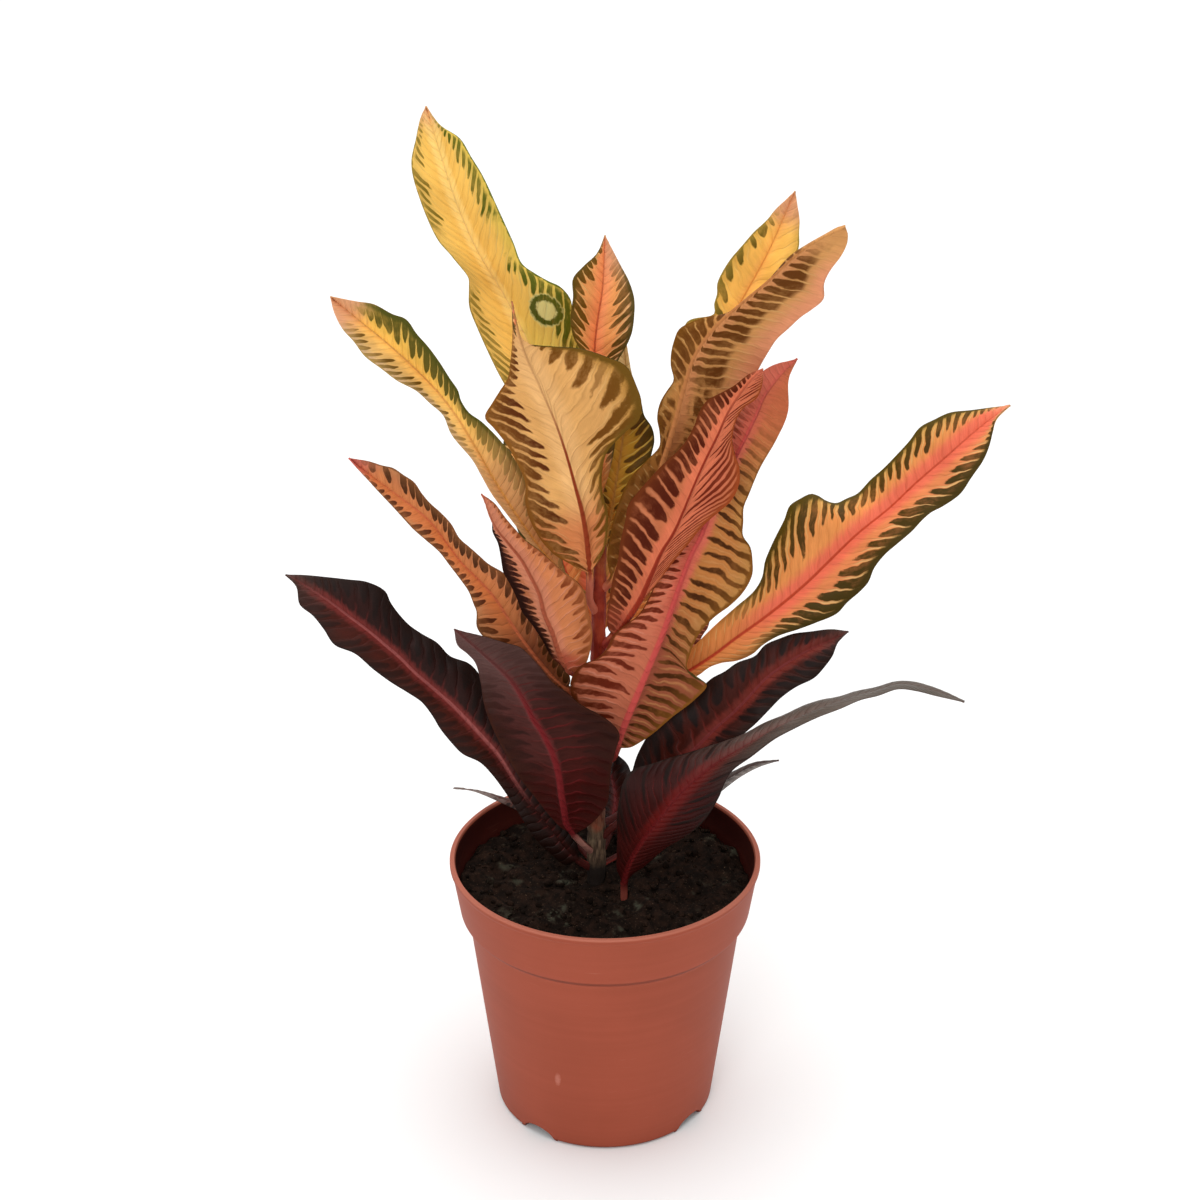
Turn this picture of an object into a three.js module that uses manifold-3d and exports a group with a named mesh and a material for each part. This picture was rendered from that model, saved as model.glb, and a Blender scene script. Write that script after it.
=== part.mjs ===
// Potted croton: a 13 cm terracotta-coloured nursery pot filled with soil, one woody stem and
// its long, wavy leaves. Millimetres, +Z up, the origin at the centre of the pot's underside.
// The row of leaves faces -Y.
import * as THREE from "three";
import { mergeVertices } from "three/addons/utils/BufferGeometryUtils.js";
import Module from "manifold-3d";

const wasm = await Module();
wasm.setup();

// ---- pot ----
const POT_HEIGHT = 116;
const LIP_RADIUS = 64.5;
const FOOT_RADIUS = 46;
const WALL = 1.6;
const FLOOR = 1.8;
const COLLAR_LOW = 89; // the collar steps out over this height
const COLLAR_HIGH = 92.5;
const ROUND = 48; // facets around the pot and the soil

// four arched recesses in the bottom corner, and the drain hole over each
const RECESS_AT = [-38, 52, 142, 232]; // degrees from the front, towards +X
const RECESS_WIDTH = 16;
const RECESS_HEIGHT = 5;
const RECESS_INNER = 33;
const DRAIN_RADIUS = 3;
const DRAIN_AT = 38.5;

// ---- soil ----
const GAP = 0.3; // between neighbouring pieces
const SOIL_TOP = 104;
const LUMP = 1.3;

// ---- stem: its axis as [x, y, z, radius] ----
const STEM = [
  [-4, 0, 58, 3.4], [-3.8, 0, 90, 3.7], [-3.6, 0, 116, 3.7], [-3.6, 0, 150, 3.4],
  [-3, 0, 195, 3], [-2.3, 0, 235, 2.6], [-2, 0, 258, 2.3], [-2, 0, 268, 1.6],
];
const STEM_SIDES = 10;
const NODE_SWELL = 0.35; // the stem is a little thicker where a leaf stands

// ---- leaves ----
// Each leaf is laid out as it is seen from this point in front of the plant and above it. [across, up,
// toward] is a point of the upright plane through the pot's axis, moved towards the viewpoint.
const VIEWPOINT = [0, -955, 706];
const BLADE = 0.8; // thickness at the margin
const RIB = 1.5; // how much thicker the midrib is at the foot of the blade
const STALK_HALF = 1.5;
const STALK_THICK = 2.3;
const ROW = 8; // spacing of the cross rows
const MAX_ROWS = 24;
const WAVE = 1.1; // height of the fine waves along a margin
const WAVES = 3;
const BOW = 0.1; // each half of a blade is bowed by this part of its width
const COLUMNS = [-1, -0.52, 0, 0.52, 1];

// node: height where the leaf stands on the stem; face: 1 shows its upper side, -1 its underside;
// stalk and rib: [across, up, toward] from the stem to the tip; left and right: [across, up] along
// the two margins; half: half widths instead of margins; lift: how far the left and the right margin
// stand nearer to the viewpoint than the rib does, from foot to tip.
const LEAVES = {
  "leaf_centre_front": {"node": 227, "face": -1, "tint": "#dda468",
    "stalk": [[-6, 234, 5], [-6, 240, 7], [-6, 246, 8]],
    "rib": [[-7, 258, 11], [-9, 272, 14], [-12, 285, 18], [-15, 297, 22], [-19, 310, 26], [-25, 325, 31],
      [-31, 340, 35], [-35, 359, 40]],
    "left": [[-9, 247], [-14, 250], [-20, 254], [-25, 260], [-29, 268], [-31, 276], [-31, 285], [-34, 293],
      [-38, 301], [-43, 308], [-46, 312], [-43, 318], [-40, 323], [-37, 328], [-36, 334],
      [-35, 345], [-35, 359]],
    "right": [[-2, 252], [0, 257], [1, 264], [1, 272], [-1, 281], [-1, 290], [1, 298], [8, 306], [13, 311], [14, 318],
      [12, 325], [8, 333], [0, 337], [-9, 340], [-20, 341], [-30, 342], [-34, 346], [-35, 359]],
    "lift": [[0, -3, -5, -6, -3, -1], [0, -4, -6, -4, -4, -1]]},
  "leaf_right_pink": {"node": 212, "face": -1, "tint": "#b0523f",
    "stalk": [[3, 218, 4]],
    "rib": [[7, 223, 7], [10, 228, 12], [14, 235, 18], [18, 245, 23], [22, 255, 27], [27, 264, 30], [31, 274, 33],
      [35, 285, 36], [39, 295, 38], [43, 304, 40], [47, 314, 42], [51, 321, 44], [56, 328, 46],
      [60, 332, 48]],
    "left": [[1, 222], [1, 229], [2, 236], [3, 243], [5, 251], [6, 259], [8, 269], [9, 275], [13, 281],
      [17, 286], [22, 292], [27, 297], [31, 302], [34, 308], [36, 314], [39, 319], [44, 322],
      [49, 325], [55, 330], [60, 332]],
    "right": [[8, 222], [12, 228], [16, 235], [21, 242], [27, 251], [33, 259], [38, 266], [44, 272], [49, 277],
      [52, 284], [52, 291], [50, 297], [49, 303], [50, 310], [53, 316], [58, 320], [60, 326],
      [60, 332]],
    "lift": [[0, -3, -5, -6, -4, -1], [0, -2, -3, -4, -2, -1]]},
  "leaf_front_red": {"node": 157, "face": -1, "tint": "#b8583c",
    "stalk": [[3, 162, 5], [5, 167, 8]],
    "rib": [[7, 175, 9], [12, 189, 12], [16, 200, 14], [19, 208, 15], [23, 219, 16], [30, 242, 19],
      [34, 254, 20], [38, 263, 21], [43, 279, 23], [52, 299, 26], [58, 313, 28], [61, 321, 29],
      [68, 331, 31], [73, 336, 32]],
    "left": [[-2, 171], [-8, 179], [-12, 187], [-14, 194], [-13, 200], [-9, 205], [-3, 208], [1, 213],
      [3, 218], [7, 222], [13, 227], [17, 234], [20, 242], [23, 250], [28, 262], [34, 273], [40, 284],
      [43, 294], [45, 305], [49, 316], [55, 326], [63, 333], [73, 336]],
    "right": [[10, 167], [15, 170], [20, 174], [27, 181], [36, 189], [41, 196], [36, 199], [33, 203], [34, 210],
      [37, 218], [43, 226], [50, 232], [55, 238], [58, 245], [58, 251], [57, 257], [54, 262],
      [54, 268], [54, 274], [56, 280], [60, 291], [66, 303], [70, 314], [70, 328], [73, 336]],
    "lift": [[0, -3, -5, -4, -3, -3, -1], [0, -3, -5, -4, -5, -2]]},
  "leaf_front_left_peach": {"node": 195, "face": -1, "tint": "#cf7d4f",
    "stalk": [[-9, 199, 4], [-15, 203, 8]],
    "rib": [[-17, 207, 10], [-19, 213, 12], [-21, 220, 15], [-24, 228, 18], [-26, 237, 21],
      [-30, 246, 24], [-33, 252, 26], [-38, 259, 29], [-43, 266, 32], [-48, 280, 36]],
    "left": [[-21, 208], [-25, 216], [-29, 223], [-33, 229], [-35, 235], [-38, 242], [-40, 246],
      [-41, 253], [-42, 259], [-44, 264], [-44, 269], [-45, 273], [-45, 277], [-48, 280]],
    "right": [[-12, 202], [-8, 205], [-6, 211], [-5, 219], [-6, 226], [-7, 231], [-8, 237], [-11, 242],
      [-16, 246], [-21, 251], [-26, 256], [-31, 260], [-36, 266], [-39, 270], [-43, 276],
      [-48, 280]],
    "lift": [[0, -2, -4, -4, -1], [0, -4, -6, -4, -1]]},
  "leaf_right_tan": {"node": 238, "face": -1, "tint": "#c48152",
    "stalk": [[3, 243, 4]],
    "rib": [[8, 255, 7], [14, 268, 10], [19, 281, 13], [23, 295, 16], [27, 310, 19], [30, 323, 21], [34, 337, 24],
      [41, 348, 26], [51, 358, 28], [61, 367, 30], [70, 376, 32], [79, 383, 34], [89, 388, 36]],
    "left": [[1, 250], [2, 262], [5, 275], [10, 287], [17, 295], [21, 300], [21, 306], [20, 312], [21, 318],
      [23, 322], [26, 327], [26, 329], [25, 333], [25, 338], [26, 343], [28, 348], [33, 351],
      [39, 353], [46, 354], [51, 357], [60, 366], [69, 377], [76, 382], [81, 385], [86, 388],
      [89, 389]],
    "right": [[11, 250], [26, 272], [38, 290], [47, 305], [54, 320], [58, 331], [62, 339], [65, 344], [69, 348],
      [74, 353], [78, 356], [82, 360], [82, 366], [84, 371], [88, 377], [90, 382], [90, 386],
      [89, 388]],
    "lift": [[0, -4, -6, -3, -7, -4, -2], [0, -2, -3, -3, -2, -1]]},
  "leaf_right_long": {"node": 182, "face": 1, "tint": "#dd7a45",
    "stalk": [[6, 185, -3], [13, 189, -5], [20, 194, -6]],
    "rib": [[28, 199, -6], [36, 204, -6], [44, 210, -6], [52, 217, -7], [62, 225, -8], [71, 233, -9],
      [80, 242, -10], [88, 251, -11], [98, 262, -12], [111, 274, -14], [121, 285, -16],
      [130, 294, -18], [143, 307, -21], [155, 317, -24]],
    "left": [[27, 204], [36, 214], [44, 223], [52, 231], [59, 238], [62, 244], [63, 251], [65, 257],
      [67, 262], [70, 269], [72, 275], [76, 278], [80, 280], [83, 279], [86, 277], [90, 276],
      [94, 278], [98, 280], [103, 286], [108, 291], [113, 297], [117, 302], [121, 308], [126, 311],
      [132, 314], [140, 315], [147, 316], [155, 317]],
    "right": [[30, 197], [37, 200], [42, 204], [47, 206], [53, 207], [59, 210], [63, 214], [69, 218],
      [77, 221], [84, 224], [92, 228], [96, 233], [101, 238], [104, 242], [106, 248], [110, 254],
      [115, 259], [120, 264], [124, 269], [127, 272], [132, 275], [138, 280], [142, 287],
      [146, 294], [148, 300], [149, 306], [150, 311], [155, 317]],
    "lift": [[0, -3, -8, -10, -8, -3], [0, 3, 8, 12, 10, 3]]},
  "leaf_left_upper": {"node": 232, "face": 1, "tint": "#c99a45",
    "stalk": [[-9, 237, 1], [-15, 243, 2]],
    "rib": [[-24, 254, 3], [-33, 268, 4], [-42, 284, 4], [-50, 300, 4], [-57, 313, 3], [-64, 323, 2],
      [-73, 333, 0], [-82, 342, -2], [-92, 351, -5], [-103, 361, -8]],
    "left": [[-22, 250], [-31, 261], [-38, 271], [-44, 280], [-48, 288], [-51, 294], [-59, 305],
      [-62, 313], [-67, 318], [-72, 323], [-79, 327], [-85, 332], [-91, 337], [-95, 343],
      [-99, 348], [-102, 355], [-103, 361]],
    "right": [[-18, 256], [-24, 270], [-30, 285], [-37, 298], [-47, 310], [-52, 314], [-55, 319],
      [-56, 323], [-59, 328], [-63, 335], [-67, 341], [-71, 346], [-75, 352], [-80, 354],
      [-87, 358], [-93, 359], [-103, 361]],
    "lift": [[0, 4, 5, 2, 1, 5, 5, 2], [0, -3, -3, 1, 1, 4, 4, 2]]},
  "leaf_left_orange": {"node": 184, "face": 1, "tint": "#c8703f",
    "stalk": [[-9, 189, 3], [-15, 194, 5]],
    "rib": [[-22, 201, 6], [-30, 212, 8], [-38, 225, 8], [-43, 234, 8], [-49, 242, 7], [-56, 250, 6],
      [-62, 259, 4], [-69, 269, 2], [-80, 279, -2], [-92, 289, -5], [-99, 295, -8]],
    "left": [[-25, 196], [-35, 203], [-42, 210], [-48, 217], [-51, 222], [-51, 229], [-52, 232],
      [-54, 238], [-57, 243], [-61, 249], [-65, 255], [-70, 260], [-75, 265], [-79, 270],
      [-83, 275], [-88, 281], [-92, 286], [-96, 291], [-99, 295]],
    "right": [[-14, 199], [-18, 208], [-22, 217], [-27, 226], [-32, 236], [-36, 242], [-40, 246], [-46, 250],
      [-49, 253], [-53, 257], [-57, 261], [-60, 267], [-64, 272], [-68, 276], [-71, 280],
      [-74, 285], [-78, 288], [-82, 291], [-86, 292], [-92, 294], [-99, 295]],
    "lift": [[0, 3, 4, 3, 2, 2], [0, 0, 1, 2, 1, 1]]},
  "leaf_top_left": {"node": 256, "face": 1, "tint": "#e0ad4a",
    "stalk": [[-5, 264, -5], [-8, 277, -9]],
    "rib": [[-14, 302, -17], [-21, 322, -24], [-30, 345, -31], [-38, 362, -35], [-47, 378, -38],
      [-54, 395, -42], [-60, 415, -46], [-65, 434, -52]],
    "left": [[-22, 300], [-34, 318], [-40, 329], [-44, 338], [-48, 348], [-51, 357], [-51, 364],
      [-51, 368], [-52, 370], [-55, 374], [-58, 378], [-62, 383], [-68, 398], [-71, 412],
      [-69, 422], [-67, 430], [-65, 434]],
    "right": [[-6, 300], [-8, 325], [-9, 342], [-12, 353], [-13, 360], [-17, 365], [-21, 367],
      [-26, 370], [-31, 374], [-34, 382], [-39, 394], [-45, 408], [-49, 415], [-53, 422],
      [-60, 427], [-65, 434]],
    "lift": [[0, 6, 8, 5, 6, 4, 1], [0, 2, 4, 12, 6, 5, 1]]},
  "leaf_top_right": {"node": 243, "face": 1, "tint": "#e2a642",
    "stalk": [[4, 252, -5], [11, 269, -9], [18, 282, -13]],
    "rib": [[28, 305, -18], [36, 325, -21], [43, 342, -24], [50, 357, -27], [60, 377, -32],
      [70, 402, -38]],
    "left": [[22, 304], [25, 318], [28, 330], [29, 340], [31, 351], [41, 354], [41, 358], [42, 362],
      [42, 366], [44, 371], [47, 376], [51, 381], [55, 386], [60, 391], [63, 395], [67, 399],
      [70, 402]],
    "right": [[32, 303], [42, 320], [50, 335], [58, 350], [66, 365], [72, 380], [72, 386], [72, 391],
      [71, 397], [70, 402]],
    "lift": [[0, 3, 4, 4, 1], [0, 3, 4, 4, 1]]},
  "leaf_centre_top": {"node": 262, "face": 1, "tint": "#d27845",
    "stalk": [[-2, 268, -2], [-2, 276, -4]],
    "rib": [[-2, 295, -6], [-3, 315, -9], [-4, 338, -11], [-3, 350, -12], [-1, 364, -14],
      [0, 385, -17]],
    "left": [[-8, 295], [-9, 315], [-7, 330], [-7, 336], [-10, 341], [-12, 345], [-13, 352],
      [-12, 361], [-12, 368], [-8, 373], [-3, 378], [0, 385]],
    "right": [[3, 295], [5, 315], [5, 335], [7, 339], [10, 346], [11, 353], [11, 360], [9, 367],
      [6, 373], [3, 379], [0, 385]],
    "lift": [[1, 3, 4, 5, 3, 1], [1, 3, 4, 5, 3, 1]]},
  "leaf_centre_green": {"node": 253, "face": 1, "tint": "#8a7d2f",
    "stalk": [[0, 259, -5]],
    "rib": [[2, 269, -9], [5, 290, -14], [7, 305, -18], [8, 320, -21], [8, 332, -23], [7, 343, -26]],
    "left": [[-3, 266], [-5, 285], [-6, 300], [-4, 315], [1, 330], [5, 339], [7, 343]],
    "right": [[6, 268], [11, 280], [16, 290], [18, 297], [19, 303], [18, 308], [15, 313], [14, 318], [12, 324],
      [10, 331], [9, 337], [8, 343]],
    "lift": [[0, 2, 2, 1], [0, 2, 3, 2, 1]]},
  "leaf_dark_left": {"node": 109, "face": 1, "tint": "#2e1c1e",
    "stalk": [[-8, 111, 3], [-12, 114, 5]],
    "rib": [[-19, 123, 6], [-25, 132, 6], [-31, 141, 6], [-38, 153, 6], [-44, 164, 6], [-50, 172, 6],
      [-57, 181, 6], [-63, 188, 6],
      [-70, 195, 6], [-76, 201, 6], [-82, 208, 5], [-88, 214, 5], [-94, 220, 4], [-102, 227, 3],
      [-110, 234, 1], [-118, 240, -1], [-126, 245, -3]],
    "left": [[-16, 111], [-23, 117], [-29, 124], [-35, 135], [-41, 146], [-46, 154], [-51, 160], [-58, 164],
      [-63, 170], [-67, 176], [-70, 182], [-74, 188], [-79, 192], [-86, 197], [-93, 203],
      [-100, 210], [-108, 214], [-112, 221], [-116, 227], [-121, 232], [-122, 240], [-126, 245]],
    "right": [[-11, 118], [-14, 127], [-20, 139], [-27, 152], [-34, 166], [-41, 180], [-47, 194], [-52, 203],
      [-55, 206], [-62, 209], [-67, 215], [-73, 219], [-78, 223], [-82, 228], [-85, 233], [-87, 238],
      [-94, 242], [-101, 243], [-109, 244], [-119, 245], [-126, 245]],
    "lift": [[0, 3, 6, 8, 8, 3], [0, -2, -4, -6, -5, -2]]},
  "leaf_dark_front_left": {"node": 116, "face": -1, "tint": "#3c2a2d",
    "stalk": [[-9, 121, 6], [-13, 126, 9]],
    "rib": [[-16, 131, 12], [-17, 138, 16], [-18, 145, 19], [-19, 154, 22], [-21, 163, 25],
      [-25, 173, 28], [-29, 180, 30], [-33, 189, 33], [-38, 198, 36], [-50, 211, 41],
      [-60, 221, 46]],
    "left": [[-18, 129], [-23, 135], [-29, 144], [-35, 153], [-40, 163], [-44, 172], [-47, 180],
      [-49, 188], [-50, 197], [-52, 206], [-55, 210], [-59, 214], [-60, 221]],
    "right": [[-8, 129], [-3, 134], [1, 141], [2, 150], [3, 160], [5, 168], [6, 173], [3, 178], [-2, 182],
      [-10, 187], [-15, 192], [-21, 197], [-26, 204], [-30, 209], [-34, 213], [-40, 215],
      [-49, 218], [-60, 221]],
    "lift": [[0, -4, -6, -6, -2], [0, -5, -8, -6, -2]]},
  "leaf_dark_right": {"node": 123, "face": 1, "tint": "#2c1b1d",
    "stalk": [[2, 128, 2], [8, 134, 4]],
    "rib": [[14, 141, 5], [22, 149, 6], [30, 159, 7], [38, 168, 8], [45, 176, 8], [51, 182, 8],
      [57, 189, 8], [64, 198, 6], [72, 205, 4], [82, 212, 2], [92, 217, -1], [97, 220, -3]],
    "left": [[9, 145], [11, 155], [13, 163], [16, 170], [20, 178], [24, 185], [31, 189], [38, 194],
      [43, 199], [48, 202], [53, 206], [60, 209], [64, 214], [70, 217], [75, 219], [82, 220],
      [90, 221], [97, 220]],
    "right": [[18, 138], [28, 146], [38, 155], [48, 165], [56, 173], [61, 178], [66, 184], [71, 190],
      [77, 195], [84, 199], [88, 204], [91, 209], [93, 215], [97, 220]],
    "lift": [[0, -4, -6, -6, -2], [0, 4, 8, 8, 2]]},
  "leaf_dark_front_right": {"face": 1, "tint": "#3a2829",
    "stalk": [[8, 86, 14], [8, 97, 14], [8, 102, 15]],
    "rib": [[9, 108, 17], [12, 116, 20], [17, 125, 25], [23, 134, 30], [29, 143, 34], [36, 151, 37], [45, 159, 38], [55, 166, 39],
      [70, 176, 38], [90, 186, 34], [110, 192, 29], [120, 195, 27], [132, 193, 24], [145, 188, 20]],
    "left": [[5, 109], [5, 116], [5, 125], [5, 134], [6, 143], [8, 152], [12, 157], [18, 159], [26, 162], [35, 165],
      [46, 169], [56, 173], [64, 178],
      [71, 181], [80, 186], [86, 188], [93, 189], [100, 192], [109, 194], [117, 197], [124, 197],
      [131, 195], [138, 192], [145, 188]],
    "right": [[12, 107], [16, 110], [20, 114], [25, 119], [31, 123], [38, 129], [43, 136], [47, 144], [49, 150], [52, 156], [60, 163], [69, 171],
      [77, 176], [86, 181], [95, 185], [103, 189], [110, 191], [118, 194], [126, 193], [133, 191],
      [145, 188]],
    "lift": [[0, -4, -7, -14, -14, -4], [0, 6, 8, 14, 14, 4]]},
  "leaf_low_right": {"node": 110, "face": 1, "tint": "#2b1d1e",
    "stalk": [[6, 116, -3], [14, 122, -5]],
    "rib": [[28, 133, -8], [42, 146, -12], [54, 154, -15], [62, 159, -18], [71, 161, -22]],
    "left": [[27, 135], [41, 148], [53, 156], [61, 160], [71, 161]],
    "right": [[30, 131], [44, 143], [55, 153], [63, 158], [71, 161]],
    "lift": [[0, -8, -8, -2], [0, 8, 8, 2]]},
  "leaf_low_back_left": {"node": 111, "face": 1, "tint": "#2b1d1e",
    "stalk": [[-9, 118, -6], [-14, 124, -12]],
    "rib": [[-28, 135, -26], [-40, 142, -38], [-54, 147, -50], [-62, 148, -58]],
    "left": [[-29, 133], [-41, 140], [-53, 146], [-62, 148]],
    "right": [[-27, 137], [-40, 143], [-54, 147], [-62, 148]],
    "lift": [[0, 4, 3, 0], [0, -4, -3, 0]]},
  "leaf_back_1": {"node": 200, "face": 1, "tint": "#b4693c", "half": [3, 14, 17, 16, 9, 0.5],
    "stalk": [[-4, 208, -9], [-4, 217, -17]],
    "rib": [[-5, 235, -35], [-7, 255, -55], [-9, 275, -74], [-11, 293, -92], [-13, 306, -106]],
    "lift": [[0, 3, 4, 1], [0, 3, 4, 1]]},
  "leaf_back_2": {"node": 217, "face": 1, "tint": "#c98a46", "half": [1.5, 9, 12, 11, 7, 0.5],
    "stalk": [[-8, 226, -10], [-12, 236, -19]],
    "rib": [[-18, 254, -36], [-24, 272, -52], [-29, 289, -66], [-33, 304, -80], [-36, 316, -92]],
    "lift": [[0, 3, 4, 1], [0, 3, 4, 1]]},
  "leaf_back_3": {"node": 208, "face": 1, "tint": "#c9783f", "half": [5, 11, 13, 12, 7, 0.5],
    "stalk": [[2, 214, -8], [6, 223, -16]],
    "rib": [[16, 248, -33], [25, 265, -48], [33, 282, -62], [40, 298, -75], [45, 311, -86]],
    "lift": [[0, 3, 4, 1], [0, 3, 4, 1]]},
  "leaf_back_4": {"node": 172, "face": 1, "tint": "#6a3a2c", "half": [1.5, 8, 10, 9, 6, 0.5],
    "stalk": [[2, 178, -9], [7, 185, -18]],
    "rib": [[14, 196, -34], [22, 207, -50], [30, 217, -64], [37, 226, -76], [43, 234, -86]],
    "lift": [[0, 3, 4, 1], [0, 3, 4, 1]]},
  "leaf_back_5": {"node": 147, "face": 1, "tint": "#4a2c28", "half": [1.5, 7, 9, 8, 5, 0.5],
    "stalk": [[-8, 152, -8], [-12, 158, -15]],
    "rib": [[-20, 170, -30], [-28, 181, -45], [-36, 191, -58], [-42, 199, -68], [-46, 205, -76]],
    "lift": [[0, 3, 4, 1], [0, 3, 4, 1]]},
  "leaf_back_6": {"node": 136, "face": 1, "tint": "#38211f", "half": [1.5, 9, 12, 12, 7, 0.5],
    "stalk": [[-5, 140, -10], [-5, 145, -19]],
    "rib": [[-6, 156, -38], [-7, 168, -57], [-8, 180, -76], [-9, 191, -94], [-9, 200, -108]],
    "lift": [[0, 3, 4, 1], [0, 3, 4, 1]]},
  "leaf_back_7": {"node": 130, "face": 1, "tint": "#30201e", "half": [1.5, 6, 8, 8, 5, 0.5],
    "stalk": [[4, 134, -9], [11, 140, -18]],
    "rib": [[22, 147, -31], [33, 154, -44], [43, 161, -56], [52, 168, -66], [58, 173, -74]],
    "lift": [[0, 3, 4, 1], [0, 3, 4, 1]]},
  "leaf_back_8": {"node": 242, "face": 1, "tint": "#c58b3f", "half": [1.5, 5, 8, 8, 5, 0.5],
    "stalk": [[-1, 249, -9], [1, 258, -17]],
    "rib": [[3, 272, -32], [4, 287, -47], [4, 301, -62], [3, 313, -75], [2, 322, -86]],
    "lift": [[0, 2, 3, 1], [0, 2, 3, 1]]},
  "leaf_back_9": {"node": 114, "face": 1, "tint": "#2e1c1c", "half": [3, 8, 9, 8, 5, 0.5],
    "stalk": [[-1, 119, -6], [2, 127, -15]],
    "rib": [[4, 137, -28], [4, 147, -41], [2, 156, -53], [-2, 165, -65], [-6, 173, -76]],
    "lift": [[0, 1, 1, 1], [0, 1, 1, 1]]},
  "leaf_young": {"node": 266, "face": 1, "tint": "#b3a04a", "half": [1, 4, 4, 0.5],
    "stalk": [[-3, 271, 2]],
    "rib": [[-4, 276, 2], [-6, 288, 4], [-9, 301, 5], [-12, 314, 6]],
    "lift": [[1, 1], [1, 1]]}
};

// ---------------------------------------------------------------- curves
const vec = (a) => new THREE.Vector3(...a);
const lerp = THREE.MathUtils.lerp;
const eye = vec(VIEWPOINT);

const seen = ([across, up, toward]) => {
  const q = new THREE.Vector3(across, 0, up);
  return q.addScaledVector(eye.clone().sub(q).normalize(), toward);
};

// a value between the entries of a list, u from 0 to 1
const between = (list, u) => {
  const s = u * (list.length - 1);
  const k = Math.min(Math.floor(s), list.length - 2);
  const f = s - k;
  return lerp(list[k], list[k + 1], f * f * (3 - 2 * f));
};

const smooth = (points) => new THREE.CatmullRomCurve3(points, false, "centripetal");
const flat = ([across, up]) => new THREE.Vector3(across, up, 0);

// height on the stem -> its axis point and radius
const stemAt = (z) => {
  let k = 0;
  while (k < STEM.length - 2 && z > STEM[k + 1][2]) k += 1;
  const f = THREE.MathUtils.clamp((z - STEM[k][2]) / (STEM[k + 1][2] - STEM[k][2]), 0, 1);
  return STEM[k].map((v, i) => lerp(v, STEM[k + 1][i], f));
};

// ---------------------------------------------------------------- solids
const solid = (source) => {
  const geometry = source.clone();
  geometry.deleteAttribute("normal");
  geometry.deleteAttribute("uv");
  const merged = mergeVertices(geometry, 1e-4);
  const tris = [];
  for (let i = 0; i < merged.index.count; i += 3) {
    const [a, b, c] = [0, 1, 2].map((k) => merged.index.getX(i + k));
    if (a !== b && b !== c && a !== c) tris.push(a, b, c);
  }
  return new wasm.Manifold(new wasm.Mesh({
    numProp: 3,
    vertProperties: new Float32Array(merged.getAttribute("position").array),
    triVerts: new Uint32Array(tris),
  }));
};

const geometryOf = (body) => {
  const mesh = body.getMesh();
  const geometry = new THREE.BufferGeometry();
  geometry.setAttribute("position", new THREE.BufferAttribute(new Float32Array(mesh.vertProperties), 3));
  geometry.setIndex(new THREE.BufferAttribute(new Uint32Array(mesh.triVerts), 1));
  return geometry;
};

// A closed skin over rings of points. The second half of a ring is the underside of the first half,
// in reverse, so that both faces are split into triangles alike.
const skin = (rings) => {
  const n = rings[0].length;
  const half = n / 2;
  const points = rings.flat().flatMap((p) => [p.x, p.y, p.z]);
  const tris = [];
  for (let k = 0; k + 1 < rings.length; k += 1) {
    for (let j = 0; j < n; j += 1) {
      const a = k * n + j;
      const b = k * n + ((j + 1) % n);
      const c = b + n;
      const d = a + n;
      if (j < half) tris.push(a, b, c, a, c, d);
      else tris.push(a, b, d, b, c, d);
    }
  }
  const last = (rings.length - 1) * n;
  for (let j = 0; j + 1 < half; j += 1) {
    const [a, b, c, d] = [j, j + 1, n - 2 - j, n - 1 - j];
    tris.push(a, c, b, a, d, c);
    tris.push(last + a, last + b, last + c, last + a, last + c, last + d);
  }
  const geometry = new THREE.BufferGeometry();
  geometry.setAttribute("position", new THREE.BufferAttribute(new Float32Array(points), 3));
  geometry.setIndex(tris);
  return geometry;
};

const lathe = (profile) => {
  const geometry = new THREE.LatheGeometry(profile.map(([r, z]) => new THREE.Vector2(r, z)), ROUND);
  return geometry.rotateX(Math.PI / 2);
};

// ---------------------------------------------------------------- pot and soil
const potOuter = [
  [FOOT_RADIUS - 1.2, 0], [FOOT_RADIUS, 1.2], [57, COLLAR_LOW], [60.4, COLLAR_HIGH], [63.7, 113],
  [LIP_RADIUS, 114.2], [LIP_RADIUS, POT_HEIGHT - 0.6], [LIP_RADIUS - 0.5, POT_HEIGHT],
];
const potInner = [
  [LIP_RADIUS - 1.9, POT_HEIGHT], [LIP_RADIUS - 2.4, 115], [63.7 - WALL, 113],
  [60.4 - WALL, COLLAR_HIGH + 1.4], [57 - WALL, COLLAR_LOW + 1.4], [FOOT_RADIUS - WALL + 0.5, 4],
  [FOOT_RADIUS - WALL - 1.4, FLOOR],
];

// an arch standing on z = 0 that runs outwards, grown by a margin on every side
const arch = (grow, from, to, turn) => {
  const w = RECESS_WIDTH / 2 + grow;
  const h = RECESS_HEIGHT + grow;
  const r = 3 + grow;
  const shape = new THREE.Shape();
  shape.moveTo(-w, -1);
  shape.lineTo(w, -1);
  shape.lineTo(w, h - r);
  shape.absarc(w - r, h - r, r, 0, Math.PI / 2, false);
  shape.lineTo(r - w, h);
  shape.absarc(r - w, h - r, r, Math.PI / 2, Math.PI, false);
  shape.closePath();
  const geometry = new THREE.ExtrudeGeometry(shape, { depth: to - from, bevelEnabled: false, curveSegments: 4 });
  geometry.rotateX(Math.PI / 2);
  geometry.translate(0, -from, 0);
  geometry.rotateZ(THREE.MathUtils.degToRad(turn));
  return solid(geometry);
};

// a plain upright round bar from z0 to z1
const bar = (x, y, z0, z1, radius) => {
  const geometry = new THREE.CylinderGeometry(radius, radius, z1 - z0, 16);
  geometry.rotateX(Math.PI / 2);
  geometry.translate(x, y, (z0 + z1) / 2);
  return solid(geometry);
};

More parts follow.
